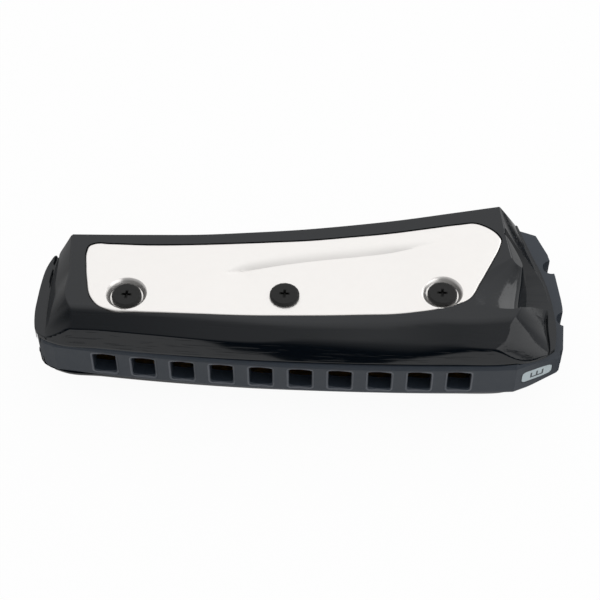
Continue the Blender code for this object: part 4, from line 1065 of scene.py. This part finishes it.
def finish(name, colour, roughness, metallic=0.0, ior=1.5, mottle=0.05, mottle_size=2.0, grain=0.0,
           grain_size=0.1, scratches=0.0, marks=None, mark_colour=None, dull=None):
    """A procedural finish: mottled colour, uneven roughness, fine grain, hairline scratches and own marks."""
    made = bpy.data.materials.new(name)
    made.use_nodes = True
    n = Nodes(made.node_tree)
    place = n.add("ShaderNodeTexCoord").outputs["Object"]
    cloud = noise(n, place, mottle_size, 4.0)
    scratch = hairlines(n, place)
    lighter = [min(c * (1 + 2 * mottle), 1.0) for c in colour]
    darker = [c * (1 - mottle) for c in colour]
    shown = n.blend(cloud, (*darker, 1), (*lighter, 1))
    if marks:
        shown = n.blend(marks(n, place), shown, (*mark_colour, 1))
    rough = n.maths("ADD", n.product(cloud, ROUGH_SPREAD * roughness), ROUGH_LEAST * roughness)
    rough = n.maths("ADD", rough, n.product(scratch, scratches), clamp=True)
    if dull:
        rough = n.maths("ADD", rough, n.product(dull(n, place), WORN_ROUGHNESS))
    grains = n.product(noise(n, place, grain_size, 2.0), grain)
    relief = n.maths("ADD", grains, n.product(scratch, -scratches))
    bump = n.add("ShaderNodeBump", {"Height": relief, "Strength": 1.0, "Distance": RELIEF * MM})
    shader = n.add("ShaderNodeBsdfPrincipled", {"Base Color": shown, "Roughness": rough, "Metallic": metallic,
                                                "IOR": ior, "Normal": bump.outputs[0]})
    n.add("ShaderNodeOutputMaterial", {"Surface": shader.outputs[0]})
    return made


def assign(prefixes, made):
    """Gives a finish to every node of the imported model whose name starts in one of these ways."""
    for name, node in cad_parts.items():
        if name.startswith(prefixes):
            node.data.materials.clear()
            node.data.materials.append(made)


def dress_covers():
    """Both covers and their inlays, the lower ones mirrored from the upper ones."""
    gloss = finish("gloss_black", GLOSS_BLACK, 0.09, scratches=0.14, dull=shelf_wear)
    assign(("upper_cover", "lower_cover"), gloss)
    cover = build_cover()
    normals = smooth_normals(cover, {SKIN: outer_z, SCOOP: scoop_z})
    under = mirrored(cover)
    hand_over("upper_cover", cover, gloss, normals)
    hand_over("lower_cover", under, gloss)
    pearl = finish("pearl_nickel", PEARL_NICKEL, 0.3, 0.9, mottle=0.01, scratches=0.02)
    inlay = build_inlay()
    under = mirrored(inlay)
    hand_over("upper_inlay", inlay, pearl)
    hand_over("lower_inlay", under, pearl)


def dress_nodes():
    """Finishes of the nodes that keep their shape."""
    # The comb's finish carries a painted highlight round each mouth hole's rim.
    satin = finish("satin_black", SATIN_BLACK, 0.5, grain=0.6, grain_size=0.09, marks=painted_rim_highlights,
                   mark_colour=RIM_HIGHLIGHT_GREY)
    brass = finish("plate_brass", BRASS, 0.34, 1.0, scratches=0.1)
    steel = finish("reed_steel", REED_STEEL, 0.3, 1.0, scratches=0.1)
    # The cover screws' finish paints the shade of their cross recess black.
    dark_screws = finish("screw_black", SCREW_BLACK, 0.5, ior=1.3, mottle=0.3, mottle_size=0.4, scratches=0.1,
                         marks=painted_cross_shade, mark_colour=RECESS_SHADE_BLACK)
    badge = finish("badge_grey", BADGE_GREY, 0.5, grain=0.3, marks=badge_marks, mark_colour=BADGE_INK)
    assign("comb", satin)
    assign(("draw_reed_", "blow_reed_"), steel)
    assign(("draw_reed_plate", "blow_reed_plate", "draw_rivet", "blow_rivet"), brass)
    assign(("upper_cover_screw", "lower_cover_screw"), dark_screws)
    assign(("upper_plate_screw", "lower_plate_screw"), finish("screw_steel", SCREW_STEEL, 0.3, 1.0))
    assign("key_badge", badge)


bpy.context.scene.view_settings.view_transform = "Standard"
add_camera()
build_world()
build_floor()
for softbox in SOFTBOXES:
    add_softbox(*softbox)
dress_covers()
dress_nodes()
